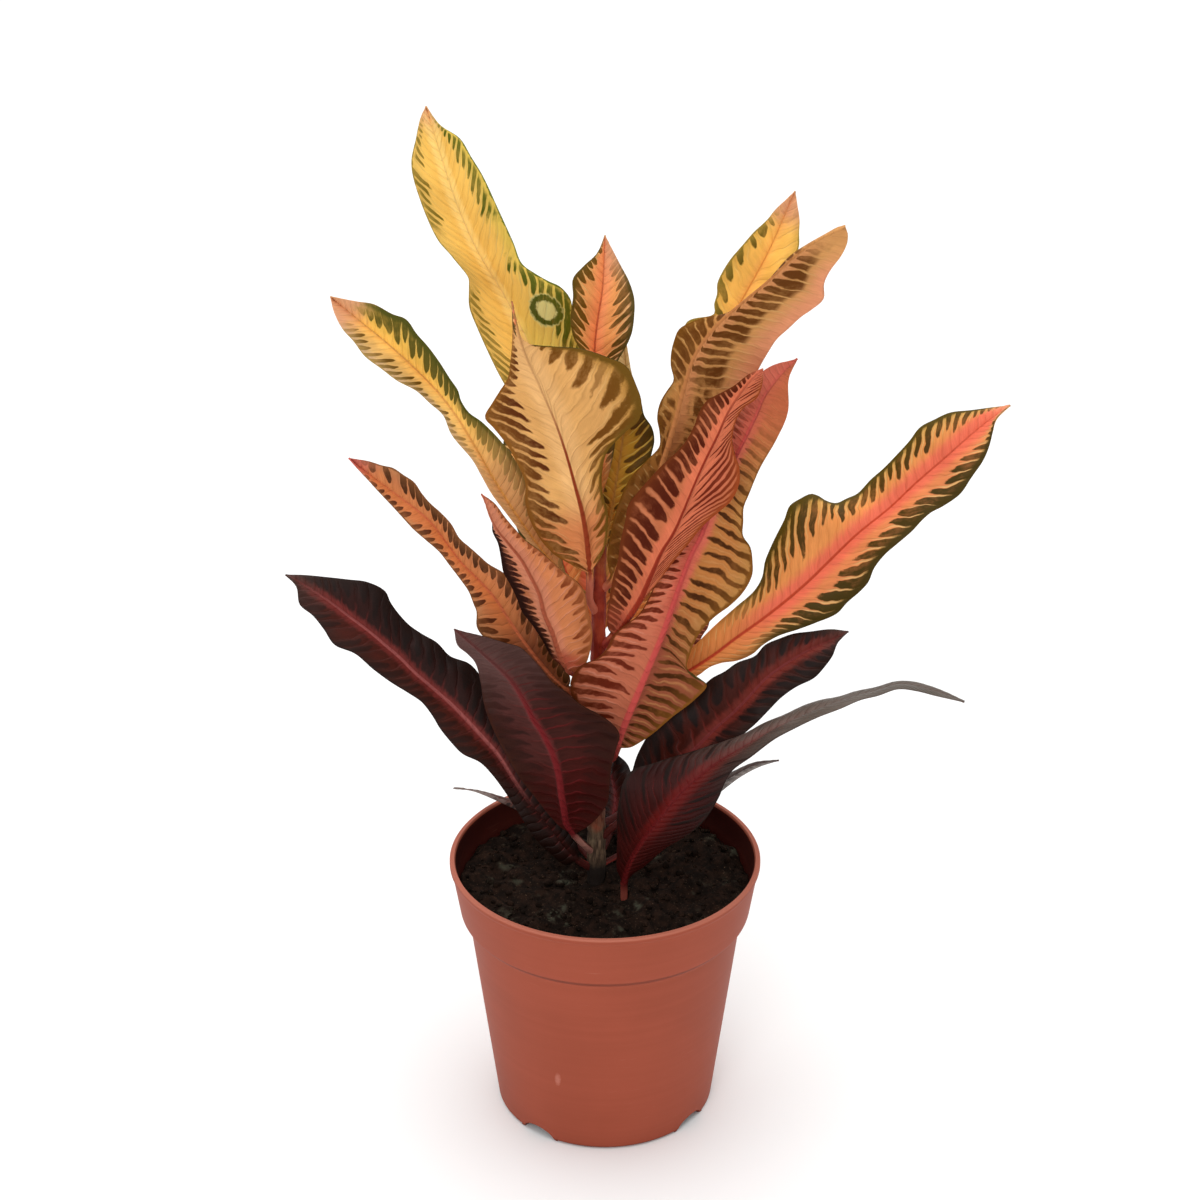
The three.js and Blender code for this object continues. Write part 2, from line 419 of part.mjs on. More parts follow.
const around = (degrees, radius) => {
  const a = THREE.MathUtils.degToRad(degrees);
  return [Math.sin(a) * radius, -Math.cos(a) * radius];
};

const makePot = () => {
  let pot = solid(lathe([[0, 0], ...potOuter, ...potInner, [0, FLOOR]]));
  for (const at of RECESS_AT) {
    const dome = arch(WALL, RECESS_INNER - WALL, FOOT_RADIUS - 1, at);
    const above = solid(new THREE.CylinderGeometry(60, 60, 40, 24).rotateX(Math.PI / 2).translate(0, 0, 20));
    pot = pot.add(dome.intersect(above)).subtract(arch(0, RECESS_INNER, FOOT_RADIUS + 9, at));
    const [x, y] = around(at, DRAIN_AT);
    pot = pot.subtract(bar(x, y, 2, 9, DRAIN_RADIUS));
  }
  return pot;
};

const lumps = (x, y) => LUMP * (
  Math.sin(0.19 * x + 1.1) * Math.cos(0.17 * y - 0.4) + 0.6 * Math.sin(0.33 * x - 0.27 * y + 2)
  + 0.4 * Math.cos(0.41 * x + 0.38 * y));

const makeSoil = (stem) => {
  const wall = (z) => {
    for (let k = 0; k + 1 < potInner.length; k += 1) {
      const [r1, z1] = potInner[k];
      const [r0, z0] = potInner[k + 1];
      if (z <= z1 && z >= z0) return lerp(r0, r1, (z - z0) / (z1 - z0)) - GAP;
    }
    return potInner.at(-1)[0] - GAP;
  };
  const geometry = lathe([
    [0, FLOOR + GAP], [FOOT_RADIUS - WALL - 1.9, FLOOR + GAP], [wall(4), 4.3],
    [wall(COLLAR_LOW + 1.4), COLLAR_LOW + 1.2], [wall(COLLAR_HIGH + 1.4) - 0.3, COLLAR_HIGH + 1.6],
    [wall(SOIL_TOP - 1.5), SOIL_TOP - 1.5], [56, SOIL_TOP], [46, SOIL_TOP], [35, SOIL_TOP],
    [23, SOIL_TOP], [11, SOIL_TOP], [0, SOIL_TOP],
  ]);
  const position = geometry.getAttribute("position");
  for (let i = 0; i < position.count; i += 1) {
    if (position.getZ(i) > SOIL_TOP - 0.1) {
      position.setZ(i, SOIL_TOP + lumps(position.getX(i), position.getY(i)));
    }
  }
  let soil = solid(geometry).subtract(stem);
  for (const at of RECESS_AT) soil = soil.subtract(arch(WALL + GAP, RECESS_INNER - WALL - GAP, 60, at));
  for (const leaf of Object.values(LEAVES)) {
    if (leaf.node === undefined) {
      const foot = seen(leaf.stalk[0]);
      soil = soil.subtract(bar(foot.x, foot.y, foot.z - GAP, SOIL_TOP + 9, STALK_HALF + 0.8));
    }
  }
  return soil;
};

// ---------------------------------------------------------------- stem
const makeStem = (grow) => {
  const path = smooth(STEM.map(([x, y, z]) => new THREE.Vector3(x, y, z)));
  const nodes = Object.values(LEAVES).map((leaf) => leaf.node ?? -99);
  const steps = 36;
  const rings = [];
  for (let k = 0; k <= steps; k += 1) {
    const p = path.getPointAt(k / steps);
    const swell = Math.max(...nodes.map((z) => Math.exp(-(((p.z - z) / 2.5) ** 2))));
    const radius = stemAt(p.z)[3] + NODE_SWELL * swell + grow;
    const end = k === 0 ? -grow : k === steps ? grow : 0;
    rings.push(Array.from({ length: STEM_SIDES }, (_, j) => {
      const a = Math.PI + (0.5 - j) * 2 * Math.PI / STEM_SIDES;
      return new THREE.Vector3(p.x + radius * Math.cos(a), p.y - radius * Math.sin(a), p.z + end);
    }));
  }
  return solid(skin(rings));
};

// ---------------------------------------------------------------- leaf
// One row of a leaf: its five middle-surface points, with the thickness at each.
const leafRows = (leaf, order) => {
  const start = leaf.node === undefined ? [] : [[stemAt(leaf.node)[0], leaf.node, 0]];
  const stalk = [...start, ...leaf.stalk];
  const whole = smooth([...stalk, ...leaf.rib].map(vec));
  const stalkEnd = smooth(stalk.map(vec)).getLength() / whole.getLength();
  const rib = smooth([leaf.stalk.at(-1), ...leaf.rib].map(vec));
  const foot = flat(leaf.stalk.at(-1));
  const margins = leaf.half ? null : [leaf.left, leaf.right].map((m) => smooth([foot, ...m.map(flat)]));
  const rows = Math.min(Math.max(Math.round(rib.getLength() / ROW), 8), leaf.half ? 12 : MAX_ROWS);
  const out = [];
  const sideOf = [];
  for (let k = 0; k <= rows; k += 1) {
    const u = k / rows;
    const m = rib.getPointAt(u);
    const ends = [0, 1].map((side) => {
      const sign = side === 0 ? -1 : 1;
      let p;
      if (margins) p = margins[side].getPointAt(u);
      else {
        const t = rib.getTangentAt(u);
        const across = new THREE.Vector2(t.y, -t.x).normalize().multiplyScalar(sign * between(leaf.half, u));
        p = new THREE.Vector3(m.x + across.x, m.y + across.y, 0);
      }
      const wave = WAVE * Math.sin(2 * Math.PI * (WAVES * u + 0.17 * order + 0.4 * side)) * Math.sin(Math.PI * u);
      return seen([p.x, p.y, m.z + between(leaf.lift[side], u) + wave]);
    });
    const mid = seen(m.toArray());
    const tangent = seen(rib.getPointAt(Math.min(u + 0.02, 1)).toArray())
      .sub(seen(rib.getPointAt(Math.max(u - 0.02, 0)).toArray())).normalize();
    let across = ends[1].clone().sub(ends[0]);
    if (across.length() < 0.3) across = sideOf.at(-1)?.clone() ?? new THREE.Vector3(1, 0, 0);
    across.addScaledVector(tangent, -across.dot(tangent)).normalize();
    sideOf.push(across);
    out.push({ u, mid, ends, across, tangent });
  }
  // the foot of the blade takes its direction from the first rows of real width
  for (let k = 0; k < 2; k += 1) {
    out[k].across = sideOf[2].clone().addScaledVector(out[k].tangent, -sideOf[2].dot(out[k].tangent)).normalize();
  }
  const table = out.map(({ u, mid, ends, across, tangent }) => {
    const least = lerp(STALK_HALF, 0.5, u);
    ends.forEach((p, side) => {
      if (p.distanceTo(mid) < least) p.copy(mid).addScaledVector(across, side === 0 ? -least : least);
    });
    const normal = across.clone().cross(tangent).normalize();
    const points = COLUMNS.map((c) => {
      const edge = ends[c < 0 ? 0 : 1];
      const p = mid.clone().lerp(edge, Math.abs(c));
      const bow = BOW * mid.distanceTo(edge) * 4 * Math.abs(c) * (1 - Math.abs(c));
      return p.addScaledVector(normal, leaf.face * bow);
    });
    const young = Math.max(0, 1 - u / 0.1);
    const thick = COLUMNS.map((c) => {
      const rib1 = BLADE + (c === 0 ? RIB * (1 - u) ** 1.5 : 0);
      return lerp(rib1, STALK_THICK * (1 - 0.4 * c * c), young);
    });
    return { points, thick };
  });
  // the stalk, from the stem to the blade
  const across = out[0].across;
  for (let k = 2; k >= 0; k -= 1) {
    const u = (k / 3) * stalkEnd;
    const mid = seen(whole.getPointAt(u).toArray());
    const tangent = seen(whole.getPointAt(u + 0.02).toArray()).sub(mid).normalize();
    const side = across.clone().addScaledVector(tangent, -across.dot(tangent)).normalize();
    table.unshift({
      points: COLUMNS.map((c) => mid.clone().addScaledVector(side, c * STALK_HALF)),
      thick: COLUMNS.map((c) => STALK_THICK * (1 - 0.4 * c * c)),
    });
  }
  return table;
};

const makeLeaf = (leaf, order) => {
  const rows = leafRows(leaf, order);
  const last = COLUMNS.length - 1;
  const rings = rows.map((row, k) => {
    const before = rows[Math.max(k - 1, 0)].points;
    const after = rows[Math.min(k + 1, rows.length - 1)].points;
    const offsets = row.points.map((p, c) => {
      const along = after[c].clone().sub(before[c]);
      const across = row.points[Math.min(c + 1, last)].clone().sub(row.points[Math.max(c - 1, 0)]);
      return across.cross(along).normalize();
    });
    const face = (sign) => row.points.map((p, c) => {
      // the midrib stands out on the underside only
      const under = sign === -leaf.face ? row.thick[c] - BLADE / 2 : BLADE / 2;
      return p.clone().addScaledVector(offsets[c], sign * under);
    });
    return [...face(1), ...face(-1).reverse()];
  });
  return solid(skin(rings));
};

// ---------------------------------------------------------------- the plant
const plant = new THREE.Group();
const put = (name, body, color, roughness) => {
  const material = new THREE.MeshStandardMaterial({ color, roughness, metalness: 0 });
  const mesh = new THREE.Mesh(geometryOf(body), material);
  mesh.name = name;
  plant.add(mesh);
};

const stemRoom = makeStem(GAP);
put("pot", makePot(), "#a6523e", 0.6);
put("soil", makeSoil(stemRoom), "#241a14", 0.95);
put("stem", makeStem(0), "#5a4a3c", 0.85);
Object.entries(LEAVES).forEach(([name, leaf], order) => {
  const body = makeLeaf(leaf, order);
  put(name, leaf.node === undefined ? body : body.subtract(stemRoom), leaf.tint, 0.4);
});

export default plant;
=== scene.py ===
"""Potted croton: a terracotta-coloured nursery pot of soil, one woody stem and its long, wavy leaves."""

import math

import bmesh
import bpy
import numpy as np
from mathutils import Matrix, Vector


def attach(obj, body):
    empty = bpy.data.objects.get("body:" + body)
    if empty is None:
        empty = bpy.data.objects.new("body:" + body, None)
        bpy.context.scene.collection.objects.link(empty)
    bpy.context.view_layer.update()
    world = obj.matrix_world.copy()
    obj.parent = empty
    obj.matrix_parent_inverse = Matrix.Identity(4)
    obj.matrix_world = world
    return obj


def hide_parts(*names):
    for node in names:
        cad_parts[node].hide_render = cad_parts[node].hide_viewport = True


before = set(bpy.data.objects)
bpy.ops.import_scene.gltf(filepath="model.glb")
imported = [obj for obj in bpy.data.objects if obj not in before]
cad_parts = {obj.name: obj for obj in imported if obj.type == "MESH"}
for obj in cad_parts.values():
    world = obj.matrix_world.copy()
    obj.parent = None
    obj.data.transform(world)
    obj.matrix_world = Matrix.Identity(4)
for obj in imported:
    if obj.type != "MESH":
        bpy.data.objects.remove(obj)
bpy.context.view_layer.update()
SCENE = bpy.context.scene
MM = 0.001

# -------- camera and light
VIEWPOINT = np.array([0.0, -955.0, 706.0])
PITCH = 26.3  # degrees below the horizon
FOCAL, SENSOR = 80.7, 36
CENTRE_SHIFT = -5 / 1200  # the axis of the lens is 5 px right of the middle of the 1200 px frame


def place_camera():
    camera = bpy.data.objects.new("camera", bpy.data.cameras.new("camera"))
    SCENE.collection.objects.link(camera)
    camera.data.lens = FOCAL
    camera.data.sensor_width = SENSOR
    camera.data.shift_x = CENTRE_SHIFT
    camera.location = VIEWPOINT * MM
    camera.rotation_euler = (math.radians(90 - PITCH), 0, 0)
    SCENE.camera = camera
    SCENE.view_settings.view_transform = "Standard"


def lamp(name, place, aim, size, watts):
    """A round, soft light; places and size in metres."""
    data = bpy.data.lights.new(name, "AREA")
    data.shape = "DISK"
    data.size = size
    data.energy = watts
    made = bpy.data.objects.new(name, data)
    made.location = place
    made.rotation_euler = (Vector(aim) - Vector(place)).to_track_quat("-Z", "Y").to_euler()
    SCENE.collection.objects.link(made)


def light_world(strength):
    world = bpy.data.worlds.new("studio")
    world.use_nodes = True
    background = world.node_tree.nodes["Background"]
    background.inputs["Color"].default_value = (1, 1, 1, 1)
    background.inputs["Strength"].default_value = strength
    SCENE.world = world


# -------- node helpers
def colour(text):
    """A colour written as #rrggbb, in linear light."""
    parts = [int(text[i:i + 2], 16) / 255 for i in (1, 3, 5)]
    return [p / 12.92 if p <= 0.04045 else ((p + 0.055) / 1.055) ** 2.4 for p in parts] + [1]


class Value:
    """A number in a node tree, with the arithmetic that builds its nodes."""

    def __init__(self, tree, socket):
        self.tree = tree
        self.socket = socket

    def do(self, operation, *others):
        node = self.tree.nodes.new("ShaderNodeMath")
        node.operation = operation
        for slot, value in zip(node.inputs, (self,) + others):
            put(self.tree, slot, value)
        return Value(self.tree, node.outputs[0])

    def __add__(self, other):
        return self.do("ADD", other)

    def __sub__(self, other):
        return self.do("SUBTRACT", other)

    def __mul__(self, other):
        return self.do("MULTIPLY", other)

    def __truediv__(self, other):
        return self.do("DIVIDE", other)

    def __neg__(self):
        return self * -1

    def __radd__(self, other):
        return self + other

    def __rsub__(self, other):
        return -self + other

    def size(self):
        return self.do("ABSOLUTE")

    def step(self, low, high):
        """0 up to low, 1 from high, smooth between."""
        node = self.tree.nodes.new("ShaderNodeMapRange")
        node.interpolation_type = "SMOOTHSTEP"
        put(self.tree, node.inputs["Value"], self)
        put(self.tree, node.inputs["From Min"], low)
        put(self.tree, node.inputs["From Max"], high)
        return Value(self.tree, node.outputs["Result"])


def put(tree, slot, value):
    if isinstance(value, Value):
        tree.links.new(value.socket, slot)
    elif isinstance(value, bpy.types.NodeSocket):
        tree.links.new(value, slot)
    else:
        slot.default_value = value


def vector(tree, x, y, z=0.0):
    node = tree.nodes.new("ShaderNodeCombineXYZ")
    for slot, value in zip(node.inputs, (x, y, z)):
        put(tree, slot, value)
    return node.outputs[0]


def split(tree, socket):
    node = tree.nodes.new("ShaderNodeSeparateXYZ")
    tree.links.new(socket, node.inputs[0])
    return [Value(tree, output) for output in node.outputs]


def spot_in(tree):
    """The place on the piece, in metres."""
    return tree.nodes.new("ShaderNodeTexCoord").outputs["Object"]


def attribute(tree, name):
    node = tree.nodes.new("ShaderNodeAttribute")
    node.attribute_name = name
    return split(tree, node.outputs["Vector"])


def noise(tree, place, scale, detail=2.0, rough=0.5):
    node = tree.nodes.new("ShaderNodeTexNoise")
    put(tree, node.inputs["Vector"], place)
    node.inputs["Scale"].default_value = scale
    node.inputs["Detail"].default_value = detail
    node.inputs["Roughness"].default_value = rough
    return Value(tree, node.outputs["Fac"])


def mix(tree, factor, a, b, blend="MIX"):
    """Colour a, with this much of b over it."""
    node = tree.nodes.new("ShaderNodeMix")
    node.data_type = "RGBA"
    node.blend_type = blend
    # the sockets for colours have the same names as those for numbers, so they go by their places
    for place, value in ((0, factor), (6, a), (7, b)):
        put(tree, node.inputs[place], value)
    return node.outputs[2]


def material(name, roughness, specular):
    made = bpy.data.materials.new(name)
    made.use_nodes = True
    shader = made.node_tree.nodes["Principled BSDF"]
    shader.inputs["Roughness"].default_value = roughness
    shader.inputs["Specular IOR Level"].default_value = specular
    return made, made.node_tree, shader


def bump(tree, shader, height, distance, strength):
    node = tree.nodes.new("ShaderNodeBump")
    node.inputs["Distance"].default_value = distance
    node.inputs["Strength"].default_value = strength
    put(tree, node.inputs["Height"], height)
    tree.links.new(node.outputs[0], shader.inputs["Normal"])


# -------- pieces
def add_object(name, mesh):
    made = bpy.data.objects.new(name, mesh)
    SCENE.collection.objects.link(made)
    return made


def stand_for(made, node):
    """The piece stays with the part and takes the place of this node."""
    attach(made, "root")
    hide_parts(node)


def piece(name, points, faces, materials, slots, node):
    mesh = bpy.data.meshes.new(name)
    mesh.from_pydata([tuple(p) for p in points * MM], [], [tuple(map(int, f)) for f in faces])
    for entry in materials:
        mesh.materials.append(entry)
    mesh.polygons.foreach_set("use_smooth", [True] * len(mesh.polygons))
    mesh.polygons.foreach_set("material_index", np.asarray(slots, np.int32))
    made = add_object(name, mesh)
    stand_for(made, node)
    return made


def bands(rows, across):
    """Quads between rows of points, where each row closes to a ring."""
    out = []
    for k in range(rows - 1):
        for j in range(across):
            a = k * across + j
            b = k * across + (j + 1) % across
            out.append((a, b, b + across, a + across))
    return out


def store(mesh, name, values):
    made = mesh.attributes.new(name, "FLOAT_VECTOR", "POINT")
    made.data.foreach_set("vector", values.astype(np.float32).ravel())


# -------- floor
def make_floor(half):
    """A pale floor that reaches this far, in metres, from the pot."""
    made, tree, shader = material("floor", 0.8, 0.2)
    speck = noise(tree, spot_in(tree), 3.0)
    put(tree, shader.inputs["Base Color"], mix(tree, speck, colour("#fafaf9"), colour("#fcfcfc")))
    mesh = bpy.data.meshes.new("floor")
    corners = [(-half, -half, 0), (half, -half, 0), (half, half, 0), (-half, half, 0)]
    mesh.from_pydata(corners, [], [(0, 1, 2, 3)])
    mesh.materials.append(made)
    floor = add_object("floor", mesh)


# -------- sizes in mm, as in the part's source
POT_HEIGHT, LIP_RADIUS, FOOT_RADIUS, WALL, FLOOR = 116, 64.5, 46, 1.6, 1.8
COLLAR_LOW, COLLAR_HIGH, COLLAR_RADIUS, NECK_RADIUS = 89, 92.5, 60.4, 57
RECESS_AT, RECESS_WIDTH, RECESS_HEIGHT, RECESS_INNER = (-38, 52, 142, 232), 16, 5, 33
DRAIN_RADIUS, DRAIN_AT = 3, 38.5
GAP = 0.3  # between neighbouring pieces
SOIL_TOP, LUMP = 104, 1.3
STEM = np.array([  # its axis as x, y, z and its radius
    [-4, 0, 58, 3.4], [-3.8, 0, 90, 3.7], [-3.6, 0, 116, 3.7], [-3.6, 0, 150, 3.4],
    [-3, 0, 195, 3], [-2.3, 0, 235, 2.6], [-2, 0, 258, 2.3], [-2, 0, 268, 1.6],
])
NODE_SWELL = 0.35  # the stem is a little thicker where a leaf stands
RIB = 1.5  # how much thicker the midrib is at the foot of the blade
STALK_HALF, STALK_THICK = 1.5, 2.3
ROW, MAX_ROWS = 8, 24  # spacing and most of the part's own rows
WAVE, WAVES = 1.1, 3  # height and number of the waves along a margin
BOW = 0.1  # each half of a blade is bowed by this part of its width

# Each leaf is laid out as it is seen from VIEWPOINT: [across, up, toward] is a point of the upright plane
# through the pot's axis, moved towards the viewpoint.
# node: height where the leaf stands on the stem; face: 1 shows its upper side, -1 its underside;
# stalk and rib: [across, up, toward] from the stem to the tip; left and right: [across, up] along
# the two margins; half: half widths instead of margins; lift: how far the left and the right margin
# stand nearer to the viewpoint than the rib does, from foot to tip.
LEAVES = {
  "leaf_centre_front": dict(
    node=227, face=-1, stalk=[[-6, 234, 5], [-6, 240, 7], [-6, 246, 8]],
    rib=[[-7, 258, 11], [-9, 272, 14], [-12, 285, 18], [-15, 297, 22], [-19, 310, 26], [-25, 325, 31],
      [-31, 340, 35], [-35, 359, 40]],
    left=[[-9, 247], [-14, 250], [-20, 254], [-25, 260], [-29, 268], [-31, 276], [-31, 285], [-34, 293],
      [-38, 301], [-43, 308], [-46, 312], [-43, 318], [-40, 323], [-37, 328], [-36, 334], [-35, 345],
      [-35, 359]],
    right=[[-2, 252], [0, 257], [1, 264], [1, 272], [-1, 281], [-1, 290], [1, 298], [8, 306], [13, 311],
      [14, 318], [12, 325], [8, 333], [0, 337], [-9, 340], [-20, 341], [-30, 342], [-34, 346], [-35, 359]],
    lift=[[0, -3, -5, -6, -3, -1], [0, -4, -6, -4, -4, -1]]),
  "leaf_right_pink": dict(
    node=212, face=-1, stalk=[[3, 218, 4]],
    rib=[[7, 223, 7], [10, 228, 12], [14, 235, 18], [18, 245, 23], [22, 255, 27], [27, 264, 30],
      [31, 274, 33], [35, 285, 36], [39, 295, 38], [43, 304, 40], [47, 314, 42], [51, 321, 44],
      [56, 328, 46], [60, 332, 48]],
    left=[[1, 222], [1, 229], [2, 236], [3, 243], [5, 251], [6, 259], [8, 269], [9, 275], [13, 281],
      [17, 286], [22, 292], [27, 297], [31, 302], [34, 308], [36, 314], [39, 319], [44, 322], [49, 325],
      [55, 330], [60, 332]],
    right=[[8, 222], [12, 228], [16, 235], [21, 242], [27, 251], [33, 259], [38, 266], [44, 272], [49, 277],
      [52, 284], [52, 291], [50, 297], [49, 303], [50, 310], [53, 316], [58, 320], [60, 326], [60, 332]],
    lift=[[0, -3, -5, -6, -4, -1], [0, -2, -3, -4, -2, -1]]),
  "leaf_front_red": dict(
    node=157, face=-1, stalk=[[3, 162, 5], [5, 167, 8]],
    rib=[[7, 175, 9], [12, 189, 12], [16, 200, 14], [19, 208, 15], [23, 219, 16], [30, 242, 19],
      [34, 254, 20], [38, 263, 21], [43, 279, 23], [52, 299, 26], [58, 313, 28], [61, 321, 29],
      [68, 331, 31], [73, 336, 32]],
    left=[[-2, 171], [-8, 179], [-12, 187], [-14, 194], [-13, 200], [-9, 205], [-3, 208], [1, 213],
      [3, 218], [7, 222], [13, 227], [17, 234], [20, 242], [23, 250], [28, 262], [34, 273], [40, 284],
      [43, 294], [45, 305], [49, 316], [55, 326], [63, 333], [73, 336]],
    right=[[10, 167], [15, 170], [20, 174], [27, 181], [36, 189], [41, 196], [36, 199], [33, 203],
      [34, 210], [37, 218], [43, 226], [50, 232], [55, 238], [58, 245], [58, 251], [57, 257], [54, 262],
      [54, 268], [54, 274], [56, 280], [60, 291], [66, 303], [70, 314], [70, 328], [73, 336]],
    lift=[[0, -3, -5, -4, -3, -3, -1], [0, -3, -5, -4, -5, -2]]),
  "leaf_front_left_peach": dict(
    node=195, face=-1, stalk=[[-9, 199, 4], [-15, 203, 8]],
    rib=[[-17, 207, 10], [-19, 213, 12], [-21, 220, 15], [-24, 228, 18], [-26, 237, 21], [-30, 246, 24],
      [-33, 252, 26], [-38, 259, 29], [-43, 266, 32], [-48, 280, 36]],
    left=[[-21, 208], [-25, 216], [-29, 223], [-33, 229], [-35, 235], [-38, 242], [-40, 246], [-41, 253],
      [-42, 259], [-44, 264], [-44, 269], [-45, 273], [-45, 277], [-48, 280]],
    right=[[-12, 202], [-8, 205], [-6, 211], [-5, 219], [-6, 226], [-7, 231], [-8, 237], [-11, 242],
      [-16, 246], [-21, 251], [-26, 256], [-31, 260], [-36, 266], [-39, 270], [-43, 276], [-48, 280]],
    lift=[[0, -2, -4, -4, -1], [0, -4, -6, -4, -1]]),
  "leaf_right_tan": dict(
    node=238, face=-1, stalk=[[3, 243, 4]],
    rib=[[8, 255, 7], [14, 268, 10], [19, 281, 13], [23, 295, 16], [27, 310, 19], [30, 323, 21],
      [34, 337, 24], [41, 348, 26], [51, 358, 28], [61, 367, 30], [70, 376, 32], [79, 383, 34],
      [89, 388, 36]],
    left=[[1, 250], [2, 262], [5, 275], [10, 287], [17, 295], [21, 300], [21, 306], [20, 312], [21, 318],
      [23, 322], [26, 327], [26, 329], [25, 333], [25, 338], [26, 343], [28, 348], [33, 351], [39, 353],
      [46, 354], [51, 357], [60, 366], [69, 377], [76, 382], [81, 385], [86, 388], [89, 389]],
    right=[[11, 250], [26, 272], [38, 290], [47, 305], [54, 320], [58, 331], [62, 339], [65, 344],
      [69, 348], [74, 353], [78, 356], [82, 360], [82, 366], [84, 371], [88, 377], [90, 382], [90, 386],
      [89, 388]],
    lift=[[0, -4, -6, -3, -7, -4, -2], [0, -2, -3, -3, -2, -1]]),
  "leaf_right_long": dict(
    node=182, face=1, stalk=[[6, 185, -3], [13, 189, -5], [20, 194, -6]],
    rib=[[28, 199, -6], [36, 204, -6], [44, 210, -6], [52, 217, -7], [62, 225, -8], [71, 233, -9],
      [80, 242, -10], [88, 251, -11], [98, 262, -12], [111, 274, -14], [121, 285, -16], [130, 294, -18],
      [143, 307, -21], [155, 317, -24]],
    left=[[27, 204], [36, 214], [44, 223], [52, 231], [59, 238], [62, 244], [63, 251], [65, 257], [67, 262],
      [70, 269], [72, 275], [76, 278], [80, 280], [83, 279], [86, 277], [90, 276], [94, 278], [98, 280],
      [103, 286], [108, 291], [113, 297], [117, 302], [121, 308], [126, 311], [132, 314], [140, 315],
      [147, 316], [155, 317]],
    right=[[30, 197], [37, 200], [42, 204], [47, 206], [53, 207], [59, 210], [63, 214], [69, 218],
      [77, 221], [84, 224], [92, 228], [96, 233], [101, 238], [104, 242], [106, 248], [110, 254],
      [115, 259], [120, 264], [124, 269], [127, 272], [132, 275], [138, 280], [142, 287], [146, 294],
      [148, 300], [149, 306], [150, 311], [155, 317]],
    lift=[[0, -3, -8, -10, -8, -3], [0, 3, 8, 12, 10, 3]]),
  "leaf_left_upper": dict(
    node=232, face=1, stalk=[[-9, 237, 1], [-15, 243, 2]],
    rib=[[-24, 254, 3], [-33, 268, 4], [-42, 284, 4], [-50, 300, 4], [-57, 313, 3], [-64, 323, 2],
      [-73, 333, 0], [-82, 342, -2], [-92, 351, -5], [-103, 361, -8]],
    left=[[-22, 250], [-31, 261], [-38, 271], [-44, 280], [-48, 288], [-51, 294], [-59, 305], [-62, 313],
      [-67, 318], [-72, 323], [-79, 327], [-85, 332], [-91, 337], [-95, 343], [-99, 348], [-102, 355],
      [-103, 361]],
    right=[[-18, 256], [-24, 270], [-30, 285], [-37, 298], [-47, 310], [-52, 314], [-55, 319], [-56, 323],
      [-59, 328], [-63, 335], [-67, 341], [-71, 346], [-75, 352], [-80, 354], [-87, 358], [-93, 359],
      [-103, 361]],
    lift=[[0, 4, 5, 2, 1, 5, 5, 2], [0, -3, -3, 1, 1, 4, 4, 2]]),
  "leaf_left_orange": dict(
    node=184, face=1, stalk=[[-9, 189, 3], [-15, 194, 5]],
    rib=[[-22, 201, 6], [-30, 212, 8], [-38, 225, 8], [-43, 234, 8], [-49, 242, 7], [-56, 250, 6],
      [-62, 259, 4], [-69, 269, 2], [-80, 279, -2], [-92, 289, -5], [-99, 295, -8]],
    left=[[-25, 196], [-35, 203], [-42, 210], [-48, 217], [-51, 222], [-51, 229], [-52, 232], [-54, 238],
      [-57, 243], [-61, 249], [-65, 255], [-70, 260], [-75, 265], [-79, 270], [-83, 275], [-88, 281],
      [-92, 286], [-96, 291], [-99, 295]],
    right=[[-14, 199], [-18, 208], [-22, 217], [-27, 226], [-32, 236], [-36, 242], [-40, 246], [-46, 250],
      [-49, 253], [-53, 257], [-57, 261], [-60, 267], [-64, 272], [-68, 276], [-71, 280], [-74, 285],
      [-78, 288], [-82, 291], [-86, 292], [-92, 294], [-99, 295]],
    lift=[[0, 3, 4, 3, 2, 2], [0, 0, 1, 2, 1, 1]]),
  "leaf_top_left": dict(
    node=256, face=1, stalk=[[-5, 264, -5], [-8, 277, -9]],
    rib=[[-14, 302, -17], [-21, 322, -24], [-30, 345, -31], [-38, 362, -35], [-47, 378, -38],
      [-54, 395, -42], [-60, 415, -46], [-65, 434, -52]],
    left=[[-22, 300], [-34, 318], [-40, 329], [-44, 338], [-48, 348], [-51, 357], [-51, 364], [-51, 368],
      [-52, 370], [-55, 374], [-58, 378], [-62, 383], [-68, 398], [-71, 412], [-69, 422], [-67, 430],
      [-65, 434]],
    right=[[-6, 300], [-8, 325], [-9, 342], [-12, 353], [-13, 360], [-17, 365], [-21, 367], [-26, 370],
      [-31, 374], [-34, 382], [-39, 394], [-45, 408], [-49, 415], [-53, 422], [-60, 427], [-65, 434]],
    lift=[[0, 6, 8, 5, 6, 4, 1], [0, 2, 4, 12, 6, 5, 1]]),
  "leaf_top_right": dict(
    node=243, face=1, stalk=[[4, 252, -5], [11, 269, -9], [18, 282, -13]],
    rib=[[28, 305, -18], [36, 325, -21], [43, 342, -24], [50, 357, -27], [60, 377, -32], [70, 402, -38]],
    left=[[22, 304], [25, 318], [28, 330], [29, 340], [31, 351], [41, 354], [41, 358], [42, 362], [42, 366],
      [44, 371], [47, 376], [51, 381], [55, 386], [60, 391], [63, 395], [67, 399], [70, 402]],
    right=[[32, 303], [42, 320], [50, 335], [58, 350], [66, 365], [72, 380], [72, 386], [72, 391],
      [71, 397], [70, 402]],
    lift=[[0, 3, 4, 4, 1]] * 2),
  "leaf_centre_top": dict(
    node=262, face=1, stalk=[[-2, 268, -2], [-2, 276, -4]],
    rib=[[-2, 295, -6], [-3, 315, -9], [-4, 338, -11], [-3, 350, -12], [-1, 364, -14], [0, 385, -17]],
    left=[[-8, 295], [-9, 315], [-7, 330], [-7, 336], [-10, 341], [-12, 345], [-13, 352], [-12, 361],
